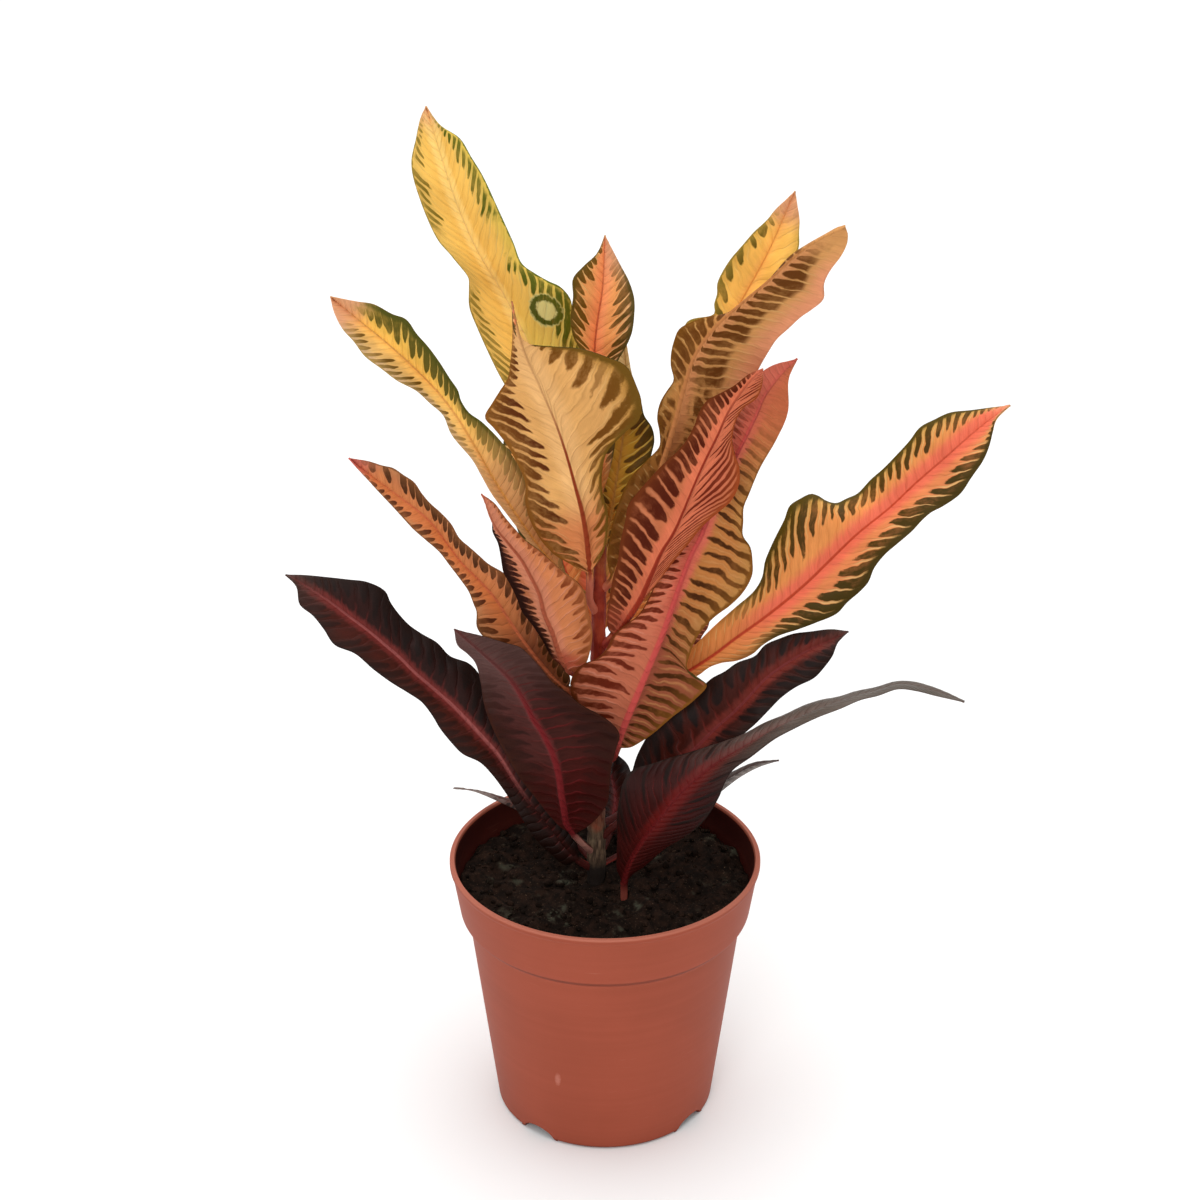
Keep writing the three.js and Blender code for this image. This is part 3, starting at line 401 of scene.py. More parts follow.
      [-12, 368], [-8, 373], [-3, 378], [0, 385]],
    right=[[3, 295], [5, 315], [5, 335], [7, 339], [10, 346], [11, 353], [11, 360], [9, 367], [6, 373],
      [3, 379], [0, 385]],
    lift=[[1, 3, 4, 5, 3, 1]] * 2),
  "leaf_centre_green": dict(
    node=253, face=1, stalk=[[0, 259, -5]],
    rib=[[2, 269, -9], [5, 290, -14], [7, 305, -18], [8, 320, -21], [8, 332, -23], [7, 343, -26]],
    left=[[-3, 266], [-5, 285], [-6, 300], [-4, 315], [1, 330], [5, 339], [7, 343]],
    right=[[6, 268], [11, 280], [16, 290], [18, 297], [19, 303], [18, 308], [15, 313], [14, 318], [12, 324],
      [10, 331], [9, 337], [8, 343]],
    lift=[[0, 2, 2, 1], [0, 2, 3, 2, 1]]),
  "leaf_dark_left": dict(
    node=109, face=1, stalk=[[-8, 111, 3], [-12, 114, 5]],
    rib=[[-19, 123, 6], [-25, 132, 6], [-31, 141, 6], [-38, 153, 6], [-44, 164, 6], [-50, 172, 6],
      [-57, 181, 6], [-63, 188, 6], [-70, 195, 6], [-76, 201, 6], [-82, 208, 5], [-88, 214, 5],
      [-94, 220, 4], [-102, 227, 3], [-110, 234, 1], [-118, 240, -1], [-126, 245, -3]],
    left=[[-16, 111], [-23, 117], [-29, 124], [-35, 135], [-41, 146], [-46, 154], [-51, 160], [-58, 164],
      [-63, 170], [-67, 176], [-70, 182], [-74, 188], [-79, 192], [-86, 197], [-93, 203], [-100, 210],
      [-108, 214], [-112, 221], [-116, 227], [-121, 232], [-122, 240], [-126, 245]],
    right=[[-11, 118], [-14, 127], [-20, 139], [-27, 152], [-34, 166], [-41, 180], [-47, 194], [-52, 203],
      [-55, 206], [-62, 209], [-67, 215], [-73, 219], [-78, 223], [-82, 228], [-85, 233], [-87, 238],
      [-94, 242], [-101, 243], [-109, 244], [-119, 245], [-126, 245]],
    lift=[[0, 3, 6, 8, 8, 3], [0, -2, -4, -6, -5, -2]]),
  "leaf_dark_front_left": dict(
    node=116, face=-1, stalk=[[-9, 121, 6], [-13, 126, 9]],
    rib=[[-16, 131, 12], [-17, 138, 16], [-18, 145, 19], [-19, 154, 22], [-21, 163, 25], [-25, 173, 28],
      [-29, 180, 30], [-33, 189, 33], [-38, 198, 36], [-50, 211, 41], [-60, 221, 46]],
    left=[[-18, 129], [-23, 135], [-29, 144], [-35, 153], [-40, 163], [-44, 172], [-47, 180], [-49, 188],
      [-50, 197], [-52, 206], [-55, 210], [-59, 214], [-60, 221]],
    right=[[-8, 129], [-3, 134], [1, 141], [2, 150], [3, 160], [5, 168], [6, 173], [3, 178], [-2, 182],
      [-10, 187], [-15, 192], [-21, 197], [-26, 204], [-30, 209], [-34, 213], [-40, 215], [-49, 218],
      [-60, 221]],
    lift=[[0, -4, -6, -6, -2], [0, -5, -8, -6, -2]]),
  "leaf_dark_right": dict(
    node=123, face=1, stalk=[[2, 128, 2], [8, 134, 4]],
    rib=[[14, 141, 5], [22, 149, 6], [30, 159, 7], [38, 168, 8], [45, 176, 8], [51, 182, 8], [57, 189, 8],
      [64, 198, 6], [72, 205, 4], [82, 212, 2], [92, 217, -1], [97, 220, -3]],
    left=[[9, 145], [11, 155], [13, 163], [16, 170], [20, 178], [24, 185], [31, 189], [38, 194], [43, 199],
      [48, 202], [53, 206], [60, 209], [64, 214], [70, 217], [75, 219], [82, 220], [90, 221], [97, 220]],
    right=[[18, 138], [28, 146], [38, 155], [48, 165], [56, 173], [61, 178], [66, 184], [71, 190],
      [77, 195], [84, 199], [88, 204], [91, 209], [93, 215], [97, 220]],
    lift=[[0, -4, -6, -6, -2], [0, 4, 8, 8, 2]]),
  "leaf_dark_front_right": dict(
    face=1, stalk=[[8, 86, 14], [8, 97, 14], [8, 102, 15]],
    rib=[[9, 108, 17], [12, 116, 20], [17, 125, 25], [23, 134, 30], [29, 143, 34], [36, 151, 37],
      [45, 159, 38], [55, 166, 39], [70, 176, 38], [90, 186, 34], [110, 192, 29], [120, 195, 27],
      [132, 193, 24], [145, 188, 20]],
    left=[[5, 109], [5, 116], [5, 125], [5, 134], [6, 143], [8, 152], [12, 157], [18, 159], [26, 162],
      [35, 165], [46, 169], [56, 173], [64, 178], [71, 181], [80, 186], [86, 188], [93, 189], [100, 192],
      [109, 194], [117, 197], [124, 197], [131, 195], [138, 192], [145, 188]],
    right=[[12, 107], [16, 110], [20, 114], [25, 119], [31, 123], [38, 129], [43, 136], [47, 144],
      [49, 150], [52, 156], [60, 163], [69, 171], [77, 176], [86, 181], [95, 185], [103, 189], [110, 191],
      [118, 194], [126, 193], [133, 191], [145, 188]],
    lift=[[0, -4, -7, -14, -14, -4], [0, 6, 8, 14, 14, 4]]),
  "leaf_low_right": dict(
    node=110, face=1, stalk=[[6, 116, -3], [14, 122, -5]],
    rib=[[28, 133, -8], [42, 146, -12], [54, 154, -15], [62, 159, -18], [71, 161, -22]],
    left=[[27, 135], [41, 148], [53, 156], [61, 160], [71, 161]],
    right=[[30, 131], [44, 143], [55, 153], [63, 158], [71, 161]],
    lift=[[0, -8, -8, -2], [0, 8, 8, 2]]),
  "leaf_low_back_left": dict(
    node=111, face=1, stalk=[[-9, 118, -6], [-14, 124, -12]],
    rib=[[-28, 135, -26], [-40, 142, -38], [-54, 147, -50], [-62, 148, -58]],
    left=[[-29, 133], [-41, 140], [-53, 146], [-62, 148]],
    right=[[-27, 137], [-40, 143], [-54, 147], [-62, 148]],
    lift=[[0, 4, 3, 0], [0, -4, -3, 0]]),
  "leaf_back_1": dict(
    node=200, face=1, half=[3, 14, 17, 16, 9, 0.5], stalk=[[-4, 208, -9], [-4, 217, -17]],
    rib=[[-5, 235, -35], [-7, 255, -55], [-9, 275, -74], [-11, 293, -92], [-13, 306, -106]],
    lift=[[0, 3, 4, 1]] * 2),
  "leaf_back_2": dict(
    node=217, face=1, half=[1.5, 9, 12, 11, 7, 0.5], stalk=[[-8, 226, -10], [-12, 236, -19]],
    rib=[[-18, 254, -36], [-24, 272, -52], [-29, 289, -66], [-33, 304, -80], [-36, 316, -92]],
    lift=[[0, 3, 4, 1]] * 2),
  "leaf_back_3": dict(
    node=208, face=1, half=[5, 11, 13, 12, 7, 0.5], stalk=[[2, 214, -8], [6, 223, -16]],
    rib=[[16, 248, -33], [25, 265, -48], [33, 282, -62], [40, 298, -75], [45, 311, -86]],
    lift=[[0, 3, 4, 1]] * 2),
  "leaf_back_4": dict(
    node=172, face=1, half=[1.5, 8, 10, 9, 6, 0.5], stalk=[[2, 178, -9], [7, 185, -18]],
    rib=[[14, 196, -34], [22, 207, -50], [30, 217, -64], [37, 226, -76], [43, 234, -86]],
    lift=[[0, 3, 4, 1]] * 2),
  "leaf_back_5": dict(
    node=147, face=1, half=[1.5, 7, 9, 8, 5, 0.5], stalk=[[-8, 152, -8], [-12, 158, -15]],
    rib=[[-20, 170, -30], [-28, 181, -45], [-36, 191, -58], [-42, 199, -68], [-46, 205, -76]],
    lift=[[0, 3, 4, 1]] * 2),
  "leaf_back_6": dict(
    node=136, face=1, half=[1.5, 9, 12, 12, 7, 0.5], stalk=[[-5, 140, -10], [-5, 145, -19]],
    rib=[[-6, 156, -38], [-7, 168, -57], [-8, 180, -76], [-9, 191, -94], [-9, 200, -108]],
    lift=[[0, 3, 4, 1]] * 2),
  "leaf_back_7": dict(
    node=130, face=1, half=[1.5, 6, 8, 8, 5, 0.5], stalk=[[4, 134, -9], [11, 140, -18]],
    rib=[[22, 147, -31], [33, 154, -44], [43, 161, -56], [52, 168, -66], [58, 173, -74]],
    lift=[[0, 3, 4, 1]] * 2),
  "leaf_back_8": dict(
    node=242, face=1, half=[1.5, 5, 8, 8, 5, 0.5], stalk=[[-1, 249, -9], [1, 258, -17]],
    rib=[[3, 272, -32], [4, 287, -47], [4, 301, -62], [3, 313, -75], [2, 322, -86]],
    lift=[[0, 2, 3, 1]] * 2),
  "leaf_back_9": dict(
    node=114, face=1, half=[3, 8, 9, 8, 5, 0.5], stalk=[[-1, 119, -6], [2, 127, -15]],
    rib=[[4, 137, -28], [4, 147, -41], [2, 156, -53], [-2, 165, -65], [-6, 173, -76]],
    lift=[[0, 1, 1, 1]] * 2),
  "leaf_young": dict(
    node=266, face=1, half=[1, 4, 4, 0.5], stalk=[[-3, 271, 2]],
    rib=[[-4, 276, 2], [-6, 288, 4], [-9, 301, 5], [-12, 314, 6]],
    lift=[[1, 1]] * 2),
}


# -------- curves
def run_of(points):
    """Length along a row of points, up to each of them."""
    return np.concatenate([[0], np.cumsum(np.linalg.norm(np.diff(points, axis=0), axis=1))])


class Curve:
    """A centripetal Catmull-Rom curve, run along by its length."""

    def __init__(self, points):
        self.points = np.asarray(points, float)
        self.t = np.linspace(0, 1, 201)
        self.run = run_of(self.by_t(self.t))
        self.length = self.run[-1]

    def by_t(self, t):
        p = self.points
        s = np.clip(t, 0, 1) * (len(p) - 1)
        k = np.minimum(s.astype(int), len(p) - 2)
        w = (s - k)[:, None]
        full = np.vstack([2 * p[0] - p[1], p, 2 * p[-1] - p[-2]])
        p0, p1, p2, p3 = (full[k + i] for i in range(4))
        gaps = [np.linalg.norm(b - a, axis=1)[:, None] ** 0.5 for a, b in ((p0, p1), (p1, p2), (p2, p3))]
        d0, d1, d2 = (np.maximum(g, 1e-4) for g in gaps)
        t1 = ((p1 - p0) / d0 - (p2 - p0) / (d0 + d1) + (p2 - p1) / d1) * d1
        t2 = ((p2 - p1) / d1 - (p3 - p1) / (d1 + d2) + (p3 - p2) / d2) * d1
        return (p1 + t1 * w + (-3 * p1 + 3 * p2 - 2 * t1 - t2) * w ** 2
                + (2 * p1 - 2 * p2 + t1 + t2) * w ** 3)

    def at(self, u):
        return self.by_t(np.interp(np.clip(u, 0, 1) * self.length, self.run, self.t))


def seen(points):
    """Places in the part's frame of [across, up, toward]."""
    q = np.asarray(points, float)
    flat = np.stack([q[:, 0], np.zeros(len(q)), q[:, 1]], 1)
    return flat + unit(VIEWPOINT - flat) * q[:, 2:3]


def between(values, u):
    """Evenly spaced values, joined smoothly."""
    values = np.asarray(values, float)
    s = u * (len(values) - 1)
    k = np.minimum(s.astype(int), len(values) - 2)
    f = s - k
    return values[k] + (values[k + 1] - values[k]) * f * f * (3 - 2 * f)


def unit(a):
    return a / np.maximum(np.linalg.norm(a, axis=-1, keepdims=True), 1e-9)


def square_to(a, tangent):
    return unit(a - (a * tangent).sum(-1, keepdims=True) * tangent)


def stem_at(z):
    """x, y and radius of the stem."""
    return np.stack([np.interp(z, STEM[:, 2], STEM[:, i]) for i in (0, 1, 3)], -1)


# -------- leaf shape
EVERY = 1.3  # mm between rows
STALK_ROWS = 16
NEAR = 0.02  # part of the length over which a direction is taken
THIN = 0.24  # half the thickness of a blade
TIP_HALF, LEAST_WIDTH = 0.5, 0.3  # mm
FINE_WAVE, FINE_WAVES = 0.3, 10  # on the waves of a margin
GROOVE, GROOVE_HALF = 0.12, 0.7  # depth and half width of the upper side's groove along the midrib, mm
YOUNG = 0.1  # part of the blade over which the stalk runs out in it
USUAL_HALF, LEAST_GAP, MOST_GAP = 15, 0.5, 1.6  # a blade this wide, mm, has its side veins at their spacing
LEAN = 0.35  # how much more the side veins run forward at the margin
NODE_COLLAR = 0.3  # how much thicker the stalk is where it leaves the stem
side_columns = np.linspace(0, 1, 13) ** 1.25
COLUMNS = np.concatenate([-side_columns[::-1], side_columns[1:]])  # -1 and 1 at the margins, 0 at the midrib
EDGE = np.abs(COLUMNS)[None]
RIGHT = COLUMNS > 0
STALK_SECTION = STALK_THICK / 2 * np.sqrt(1 - 0.9 * EDGE ** 2)


def rows_along(leaf, rib):
    """Where the rows lie, 0 at the foot and 1 at the tip, and where the part's own second row does."""
    most = 12 if "half" in leaf else MAX_ROWS
    second = 2 / min(max(round(rib.length / ROW), 8), most)
    u = np.linspace(0, 1, max(24, round(rib.length / EVERY)) + 1)
    return np.sort(np.append(u, second)), second


def waves(u, order, side):
    """The waves of a margin, with finer ones on them, no two margins alike."""
    broad = WAVE * np.sin(2 * np.pi * (WAVES * u + 0.17 * order + 0.4 * side))
    fine = FINE_WAVE * np.sin(2 * np.pi * (FINE_WAVES * u + 0.37 * order + 0.3 * side))
    return (broad + fine) * np.sin(np.pi * u)


def margin(leaf, order, rib, u, side):
    """One margin; side is 0 for the left and 1 for the right."""
    middle = rib.at(u)
    if "half" in leaf:
        way = unit((rib.at(u + 1e-3) - rib.at(u - 1e-3))[:, :2])
        half = between(leaf["half"], u) * (2 * side - 1)
        place = middle[:, :2] + np.stack([way[:, 1], -way[:, 0]], 1) * half[:, None]
    else:
        place = Curve([leaf["stalk"][-1][:2]] + leaf["right" if side else "left"]).at(u)
    toward = middle[:, 2] + between(leaf["lift"][side], u) + waves(u, order, side)
    return seen(np.column_stack([place, toward]))


def directions(ends, tangent, u, second):
    """The way across the blade, to the right; rows before the second take the second's."""
    across = ends[1] - ends[0]
    wide = np.where(np.linalg.norm(across, axis=1) >= LEAST_WIDTH)[0]
    across = across[[wide[np.argmin(abs(wide - k))] for k in range(len(u))]]
    across = square_to(across, tangent)
    at = np.searchsorted(u, second)
    across[:at] = square_to(across[at], tangent[:at])
    return across


def side_veins(styles, reach, along):
    """For each point the spacing of the side veins, and how many lie below it on its half."""
    gaps = [style["spacing"] * np.clip(r / USUAL_HALF, LEAST_GAP, MOST_GAP) ** style["grow"]
            for style, r in zip(styles, reach)]
    counts = [np.concatenate([[0], np.cumsum(np.diff(along) * 2 / (g[1:] + g[:-1]))]) for g in gaps]
    return (np.where(RIGHT, gaps[1][:, None], gaps[0][:, None]),
            np.where(RIGHT, counts[1][:, None] + 0.5, counts[0][:, None]))


def thickness(u, d):
    """From the middle of the blade to its upper side and its underside, with the stalk running out in it."""
    u = u[:, None]
    young = np.clip(1 - u / YOUNG, 0, 1)
    ridge = (0.1 + 0.9 * RIB * (1 - u) ** 1.5) * np.exp(-(d / (1.5 - 0.8 * u)) ** 2)
    plain = THIN * (1 - 0.45 * EDGE ** 6)
    upper = plain - GROOVE * np.exp(-(d / GROOVE_HALF) ** 2) * (1 - young)
    under = plain + ridge
    return upper + (STALK_SECTION - upper) * young, under + (STALK_SECTION - under) * young


def layers(*values):
    """Numbers over the rows and columns, side by side."""
    return np.stack(np.broadcast_arrays(*values), -1)


def stalk_shape(leaf, stalk, whole, across):
    """The stalk's rows, with what their blade and place attributes hold."""
    collar, first = 0, 0
    if "node" in leaf:
        collar, first = NODE_COLLAR, 0.6 * stem_at(leaf["node"])[2] / whole.length
    end = stalk.length / whole.length
    u = np.linspace(first, end, STALK_ROWS + 1)[:-1]
    middle = seen(whole.at(u))
    tangent = unit(seen(whole.at(u + NEAR)) - middle)
    side = square_to(np.broadcast_to(across, tangent.shape), tangent)
    swell = 1 + collar * np.exp(-((u - first) * whole.length / 3) ** 2)
    out = COLUMNS * STALK_HALF
    points = middle[:, None] + side[:, None] * (out * swell[:, None] * 0.98)[..., None]
    blade = layers(((u - end) * whole.length)[:, None], out, EDGE)
    return points, blade, layers(0.0, np.zeros(points.shape[:2]), SHAPE["spacing"])


def blade_shape(leaf, order, styles):
    """The blade's rows, with what their blade and place attributes hold, and the direction at its foot."""
    rib = Curve([leaf["stalk"][-1]] + leaf["rib"])
    u, second = rows_along(leaf, rib)
    middle = seen(rib.at(u))
    tangent = unit(seen(rib.at(u + NEAR)) - seen(rib.at(u - NEAR)))
    ends = [margin(leaf, order, rib, u, side) for side in (0, 1)]
    across = directions(ends, tangent, u, second)
    least = STALK_HALF + (TIP_HALF - STALK_HALF) * u
    for end, sign in zip(ends, (-1, 1)):
        near = np.linalg.norm(end - middle, axis=1) < least
        end[near] = (middle + across * (sign * least)[:, None])[near]
    reach = [np.linalg.norm(end - middle, axis=1) for end in ends]
    along = run_of(middle)
    gap, count = side_veins(styles, reach, along)
    far = np.where(RIGHT, reach[1][:, None], reach[0][:, None])
    d = COLUMNS * far
    # each half is bowed, and puckered between its side veins
    slant = np.where(RIGHT, styles[1]["slant"], styles[0]["slant"])
    phase = count - slant * np.abs(d) * (1 + LEAN * EDGE) / gap
    ripple = styles[0]["ripple"] * np.cos(2 * np.pi * phase) * np.clip(EDGE * 5, 0, 1) * (1 - EDGE ** 4)
    rise = leaf["face"] * (BOW * far * 4 * EDGE * (1 - EDGE) - ripple)
    edge = np.where(RIGHT[:, None], ends[1][:, None], ends[0][:, None])
    points = middle[:, None] + (edge - middle[:, None]) * EDGE[..., None]
    points += unit(np.cross(across, tangent))[:, None] * rise[..., None]
    return points, layers(along[:, None], d, EDGE), layers(u[:, None], count, gap), across[0]


def leaf_shape(leaf, order, looks):
    """Rings of points around the leaf, and its attributes: blade holds mm along from the foot, mm across
    and 0 to 1 from midrib to margin; place holds 0 to 1 along, the count of side veins and their spacing."""
    points, blade, place, across = blade_shape(leaf, order, (looks["left"], looks["right"]))
    start = [[stem_at(leaf["node"])[0], leaf["node"], 0]] if "node" in leaf else []
    stalk = start + leaf["stalk"]
    whole = Curve(stalk + leaf["rib"])
    stalk_points, stalk_blade, stalk_place = stalk_shape(leaf, Curve(stalk), whole, across)
    upper, under = thickness(place[:, 0, 0], blade[..., 1])
    stalk_half = np.broadcast_to(STALK_SECTION, stalk_points.shape[:2])
    front, behind = (upper, under) if leaf["face"] == 1 else (under, upper)
    front, behind = (np.concatenate([stalk_half, half])[..., None] for half in (front, behind))
    points = np.concatenate([stalk_points, points])
    normal = unit(np.cross(np.gradient(points, axis=1), np.gradient(points, axis=0)))
    both = [np.concatenate([a, b]) for a, b in ((stalk_blade, blade), (stalk_place, place))]
    blade, place = (np.concatenate([v, v[:, ::-1]], 1) for v in both)
    return np.concatenate([points + normal * front, (points - normal * behind)[:, ::-1]], 1), blade, place


def leaf_slots(across):
    """Which of the materials left, right and rear each quad of a band takes."""
    half = across // 2
    return [0 if j < half // 2 or j == across - 1 else 1 if j < half - 1 else 2 for j in range(across)]


def make_leaf(name, leaf, order, looks):
    rings, blade, place = leaf_shape(leaf, order, looks)
    rows, across = rings.shape[:2]
    half = across // 2
    faces = bands(rows, across)
    slots = leaf_slots(across) * (rows - 1)
    for base, turn in ((0, -1), ((rows - 1) * across, 1)):
        for j in range(half - 1):
            faces.append((base + j, base + j + 1, base + across - 2 - j, base + across - 1 - j)[::turn])
            slots.append(0)
    materials = [leaf_material(name + "_" + key, looks[key], leaf["face"] * (-1 if key == "rear" else 1))
                 for key in ("left", "right", "rear")]
    made = piece(name, rings.reshape(-1, 3), faces, materials, slots, name)
    store(made.data, "blade", blade)
    store(made.data, "place", place)
    # the margins are sharp
    ends = np.zeros(len(made.data.edges) * 2, np.int32)
    made.data.edges.foreach_get("vertices", ends)
    column = ends.reshape(-1, 2) % across
    sharp = np.isin(column, (0, half - 1, half, across - 1)).all(1) & (column[:, 0] == column[:, 1])
    made.data.attributes.new("sharp_edge", "BOOLEAN", "EDGE").data.foreach_set("value", sharp)


# -------- leaf colours
# What the node group of the leaves takes, in parts of the length, from 0 at the foot to 1 at the tip, and
# of the width of a half, from 0 at the midrib to 1 at the margin, where nothing else is said.
NUMBERS = {
    "slant": 0.6,  # how far the side veins run forward, against how far out
    "band": 4.0,  # half width of the coloured band along the midrib, mm
    "start": 0.5, "shift": 0.0, "narrow": 0.0, "vary": 0.3,  # where across blotches begin, and its changes
    "end": 1.3,  # where across they end
    "cover": 0.8, "blunt": 0.6, "dense": 0.95, "soft": 0.08, "feather": 0.5,  # their width, form and number
    "rim": 0.08,  # width of the dark margin
    "thread": 0.9, "thread_from": -1.0, "thread_to": 1.0,  # half width of the midrib, mm, and its stretch
    "lines": 0.3, "lines_from": 0.45, "lines_to": 0.9,  # how strong the side veins are, and where across
    "foot_to": 0.0, "calm": 0.0,  # where the colour of the foot ends, and how far it clears the blotches
    "tip_from": 0.9, "tip_soft": 0.09,  # where the colour of the tip begins
    "streak": 0.2,  # how far the bands of colour vary
    "net": 0.0, "net_to": 0.3, "net_size": 5.0,  # cells instead of blotches, up to this part of the length
    "bare_from": -1.0, "bare_to": -1.0,  # a stretch of the length without blotches
    "eye_along": 0.0, "eye_across": 0.0, "eye": 0.0,  # place and radius of a ring, mm
    "seed": 1.0,
}
SHAPE = {"spacing": 6.0, "grow": 0.6, "ripple": 0.16}  # of the side veins, for the mesh
COLOURS = {
    "centre": "#ea8a5c", "field": "#e8b050", "outer": "#e2b04c", "blotch": "#4a4414",
    "rim_colour": "#4a4a18", "rib": "#dc6a45", "line": "#f0c878", "foot": "#e8a050", "tip": "#e2a070",
    "stalk": "#b0584a",
}
OUTPUTS = {"Colour": "NodeSocketColor", "Relief": "NodeSocketFloat", "Dull": "NodeSocketFloat"}


class Croton:
    """The node group of the leaves: blotches between the side veins, on bands of colour."""

    def __init__(self):
        self.tree = bpy.data.node_groups.new("croton", "ShaderNodeTree")
        sockets = [(key, "INPUT", "NodeSocketColor") for key in COLOURS]
        sockets += [(key, "INPUT", "NodeSocketFloat") for key in NUMBERS]
        sockets += [(key, "OUTPUT", kind) for key, kind in OUTPUTS.items()]
        for key, way, kind in sockets:
            self.tree.interface.new_socket(key, in_out=way, socket_type=kind)
        given = self.tree.nodes.new("NodeGroupInput")
        self.tone = {key: given.outputs[key] for key in COLOURS}
        self.n = {key: Value(self.tree, given.outputs[key]) for key in NUMBERS}
        self.along, self.across, self.edge = attribute(self.tree, "blade")
        self.u, self.count, self.gap = attribute(self.tree, "place")
        self.d = self.across.size()
        self.noises_and_cells()
        blotch, near = self.blotches()
        ground = self.side_vein_lines(self.bands_of_colour())
        ground = self.over(ground, near * 0.55, self.tone["line"])
        ground = self.over(ground, blotch, self.blotch_colour())
        ground = self.rim_and_midrib(ground)
        grain = noise(self.tree, vector(self.tree, self.along, self.across), 1.6, 2.0)
        furrow = self.part.step(0.78, 1.0) * (1 - self.edge.step(0.8, 1.0))
        result = self.tree.nodes.new("NodeGroupOutput").inputs
        put(self.tree, result["Colour"], ground)
        put(self.tree, result["Relief"], furrow * 0.6 + self.part.step(0.2, 1.0) * 0.4 + grain * 0.25)
        put(self.tree, result["Dull"], self.cloud * 0.2 + blotch * 0.05 + 0.36)

    def over(self, ground, factor, above):
        return mix(self.tree, factor, ground, above)

    def noises_and_cells(self):
        """phase counts the side veins, so a cell lies between two of them, and part is 1 on a vein."""
        tree, n, seed = self.tree, self.n, self.n["seed"]
        flat = vector(tree, self.along, self.across, seed * 9.1)
        wander = noise(tree, flat, 0.1, 2.0)
        self.cloud = noise(tree, flat, 0.07, 3.0)
        self.ragged = noise(tree, flat, 0.45, 3.0, 0.6) - 0.5
        forward = n["slant"] * self.d * (self.edge * LEAN + 1) / self.gap
        phase = self.count - forward + (wander - 0.5) * 1.1
        cell = phase.do("FLOOR")
        self.part = (phase - cell - 0.5).size() * 2
        white = tree.nodes.new("ShaderNodeTexWhiteNoise")
        white.noise_dimensions = "1D"
        put(tree, white.inputs["W"], cell + self.across.do("SIGN") * 57 + seed * 13.7)
        self.draws = split(tree, white.outputs["Color"])
        self.feather = noise(tree, vector(tree, phase * 4.5, self.d * 0.3, seed), 1.0, 3.0, 0.6) - 0.5
        self.streak = noise(tree, vector(tree, phase * 6, self.d * 0.12, seed), 1.0, 3.0)
        self.at_tip = (self.u + self.ragged * 0.06).step(n["tip_from"], n["tip_from"] + n["tip_soft"])
        self.at_foot = 1 - self.u.step(n["foot_to"] * 0.5, n["foot_to"] + 0.001)
        self.marked = 1 - self.at_foot * n["calm"]

    def blotches(self):
        """Where it is dark, and the ground around the ring."""
        blotch = self.netted(self.blotch_per_cell())
        late = self.u + self.ragged * 0.04
        low, high = self.n["bare_from"], self.n["bare_to"]
        bare = late.step(low, low + 0.04) * (1 - late.step(high - 0.04, high))
        near, ring = self.ring()
        blotch = blotch * (1 - bare) * (1 - near) + ring
        return blotch * (1 - self.at_tip * 0.95) * self.marked, near

    def blotch_per_cell(self):
        """One blotch to a cell, narrower towards the midrib."""
        n, ragged, (r, g, b) = self.n, self.ragged, self.draws
        half = self.d / (self.edge + 0.001)
        start = n["start"] + n["shift"] * self.u + n["narrow"] * (1 - half.step(4.0, 16.0))
        start = start + (r - 0.5) * n["vary"] + ragged * 0.14
        grown = self.edge.step(start - 0.05, start + 0.3)
        wide = n["cover"] * (0.8 + b * 0.4) * grown.do("POWER", n["blunt"])
        wide = wide + (self.feather + ragged) * n["feather"] * 0.6
        end = n["end"] + (b - 0.5) * 0.16 + ragged * 0.1
        blotch = (wide - self.part).step(-n["soft"], n["soft"]) * grown.step(0.02, 0.2)
        return blotch * (1 - self.edge.step(end - 0.04, end + 0.08)) * (n["dense"] - g).step(-0.01, 0.01)

    def netted(self, blotch):
        """Cells with pale lines between them, in place of blotches, from the foot up to net_to."""
        n, ragged = self.n, self.ragged
        cells = self.tree.nodes.new("ShaderNodeTexVoronoi")
        cells.feature = "DISTANCE_TO_EDGE"
        place = vector(self.tree, self.along + ragged * 3, self.across + self.feather * 1.5, n["seed"])
        put(self.tree, cells.inputs["Vector"], place)
        put(self.tree, cells.inputs["Scale"], n["net_size"].do("POWER", -1))
        inside = Value(self.tree, cells.outputs["Distance"]).step(0.06, 0.17)
        inside = inside * (self.edge + ragged * 0.3).step(0.1, 0.3)
        share = n["net"] * (1 - (self.u + ragged * 0.1).step(n["net_to"] - 0.06, n["net_to"] + 0.06))
        return blotch * (1 - share) + inside * share

    def ring(self):
        """The pale spot and the dark ring on it, where the radius isn't 0."""
        radius = self.n["eye"]
        da = self.along - self.n["eye_along"]
        dc = self.across - self.n["eye_across"]
        away = (da * da + dc * dc).do("POWER", 0.5) + self.ragged * 3 + self.feather * 1.5
        there = radius.step(0.0, 0.5)
        near = (1 - away.step(radius + 1.2, radius + 2.4)) * there
        return near, (1 - (away - radius).size().step(0.7, 1.9)) * there

    def bands_of_colour(self):
        tree, n, tone, feather = self.tree, self.n, self.tone, self.feather
        beyond = (self.d + feather * 1.5 + self.ragged * 2).step(n["band"] * 0.4, n["band"] * 1.3)
        ground = self.over(tone["centre"], beyond, tone["field"])
        ground = self.over(ground, (self.edge + feather * 0.25).step(0.5, 0.95), tone["outer"])
        ground = self.over(ground, self.at_foot * 0.9, tone["foot"])
        ground = self.over(ground, self.at_tip * 0.9, tone["tip"])
        vary = (self.streak - 0.5 + (self.cloud - 0.5) * 1.1) * n["streak"] * 2
        tints = vector(tree, vary + 1, vary * 1.15 + 1, vary * 1.3 + 1)
        return mix(tree, 1.0, ground, tints, "MULTIPLY")

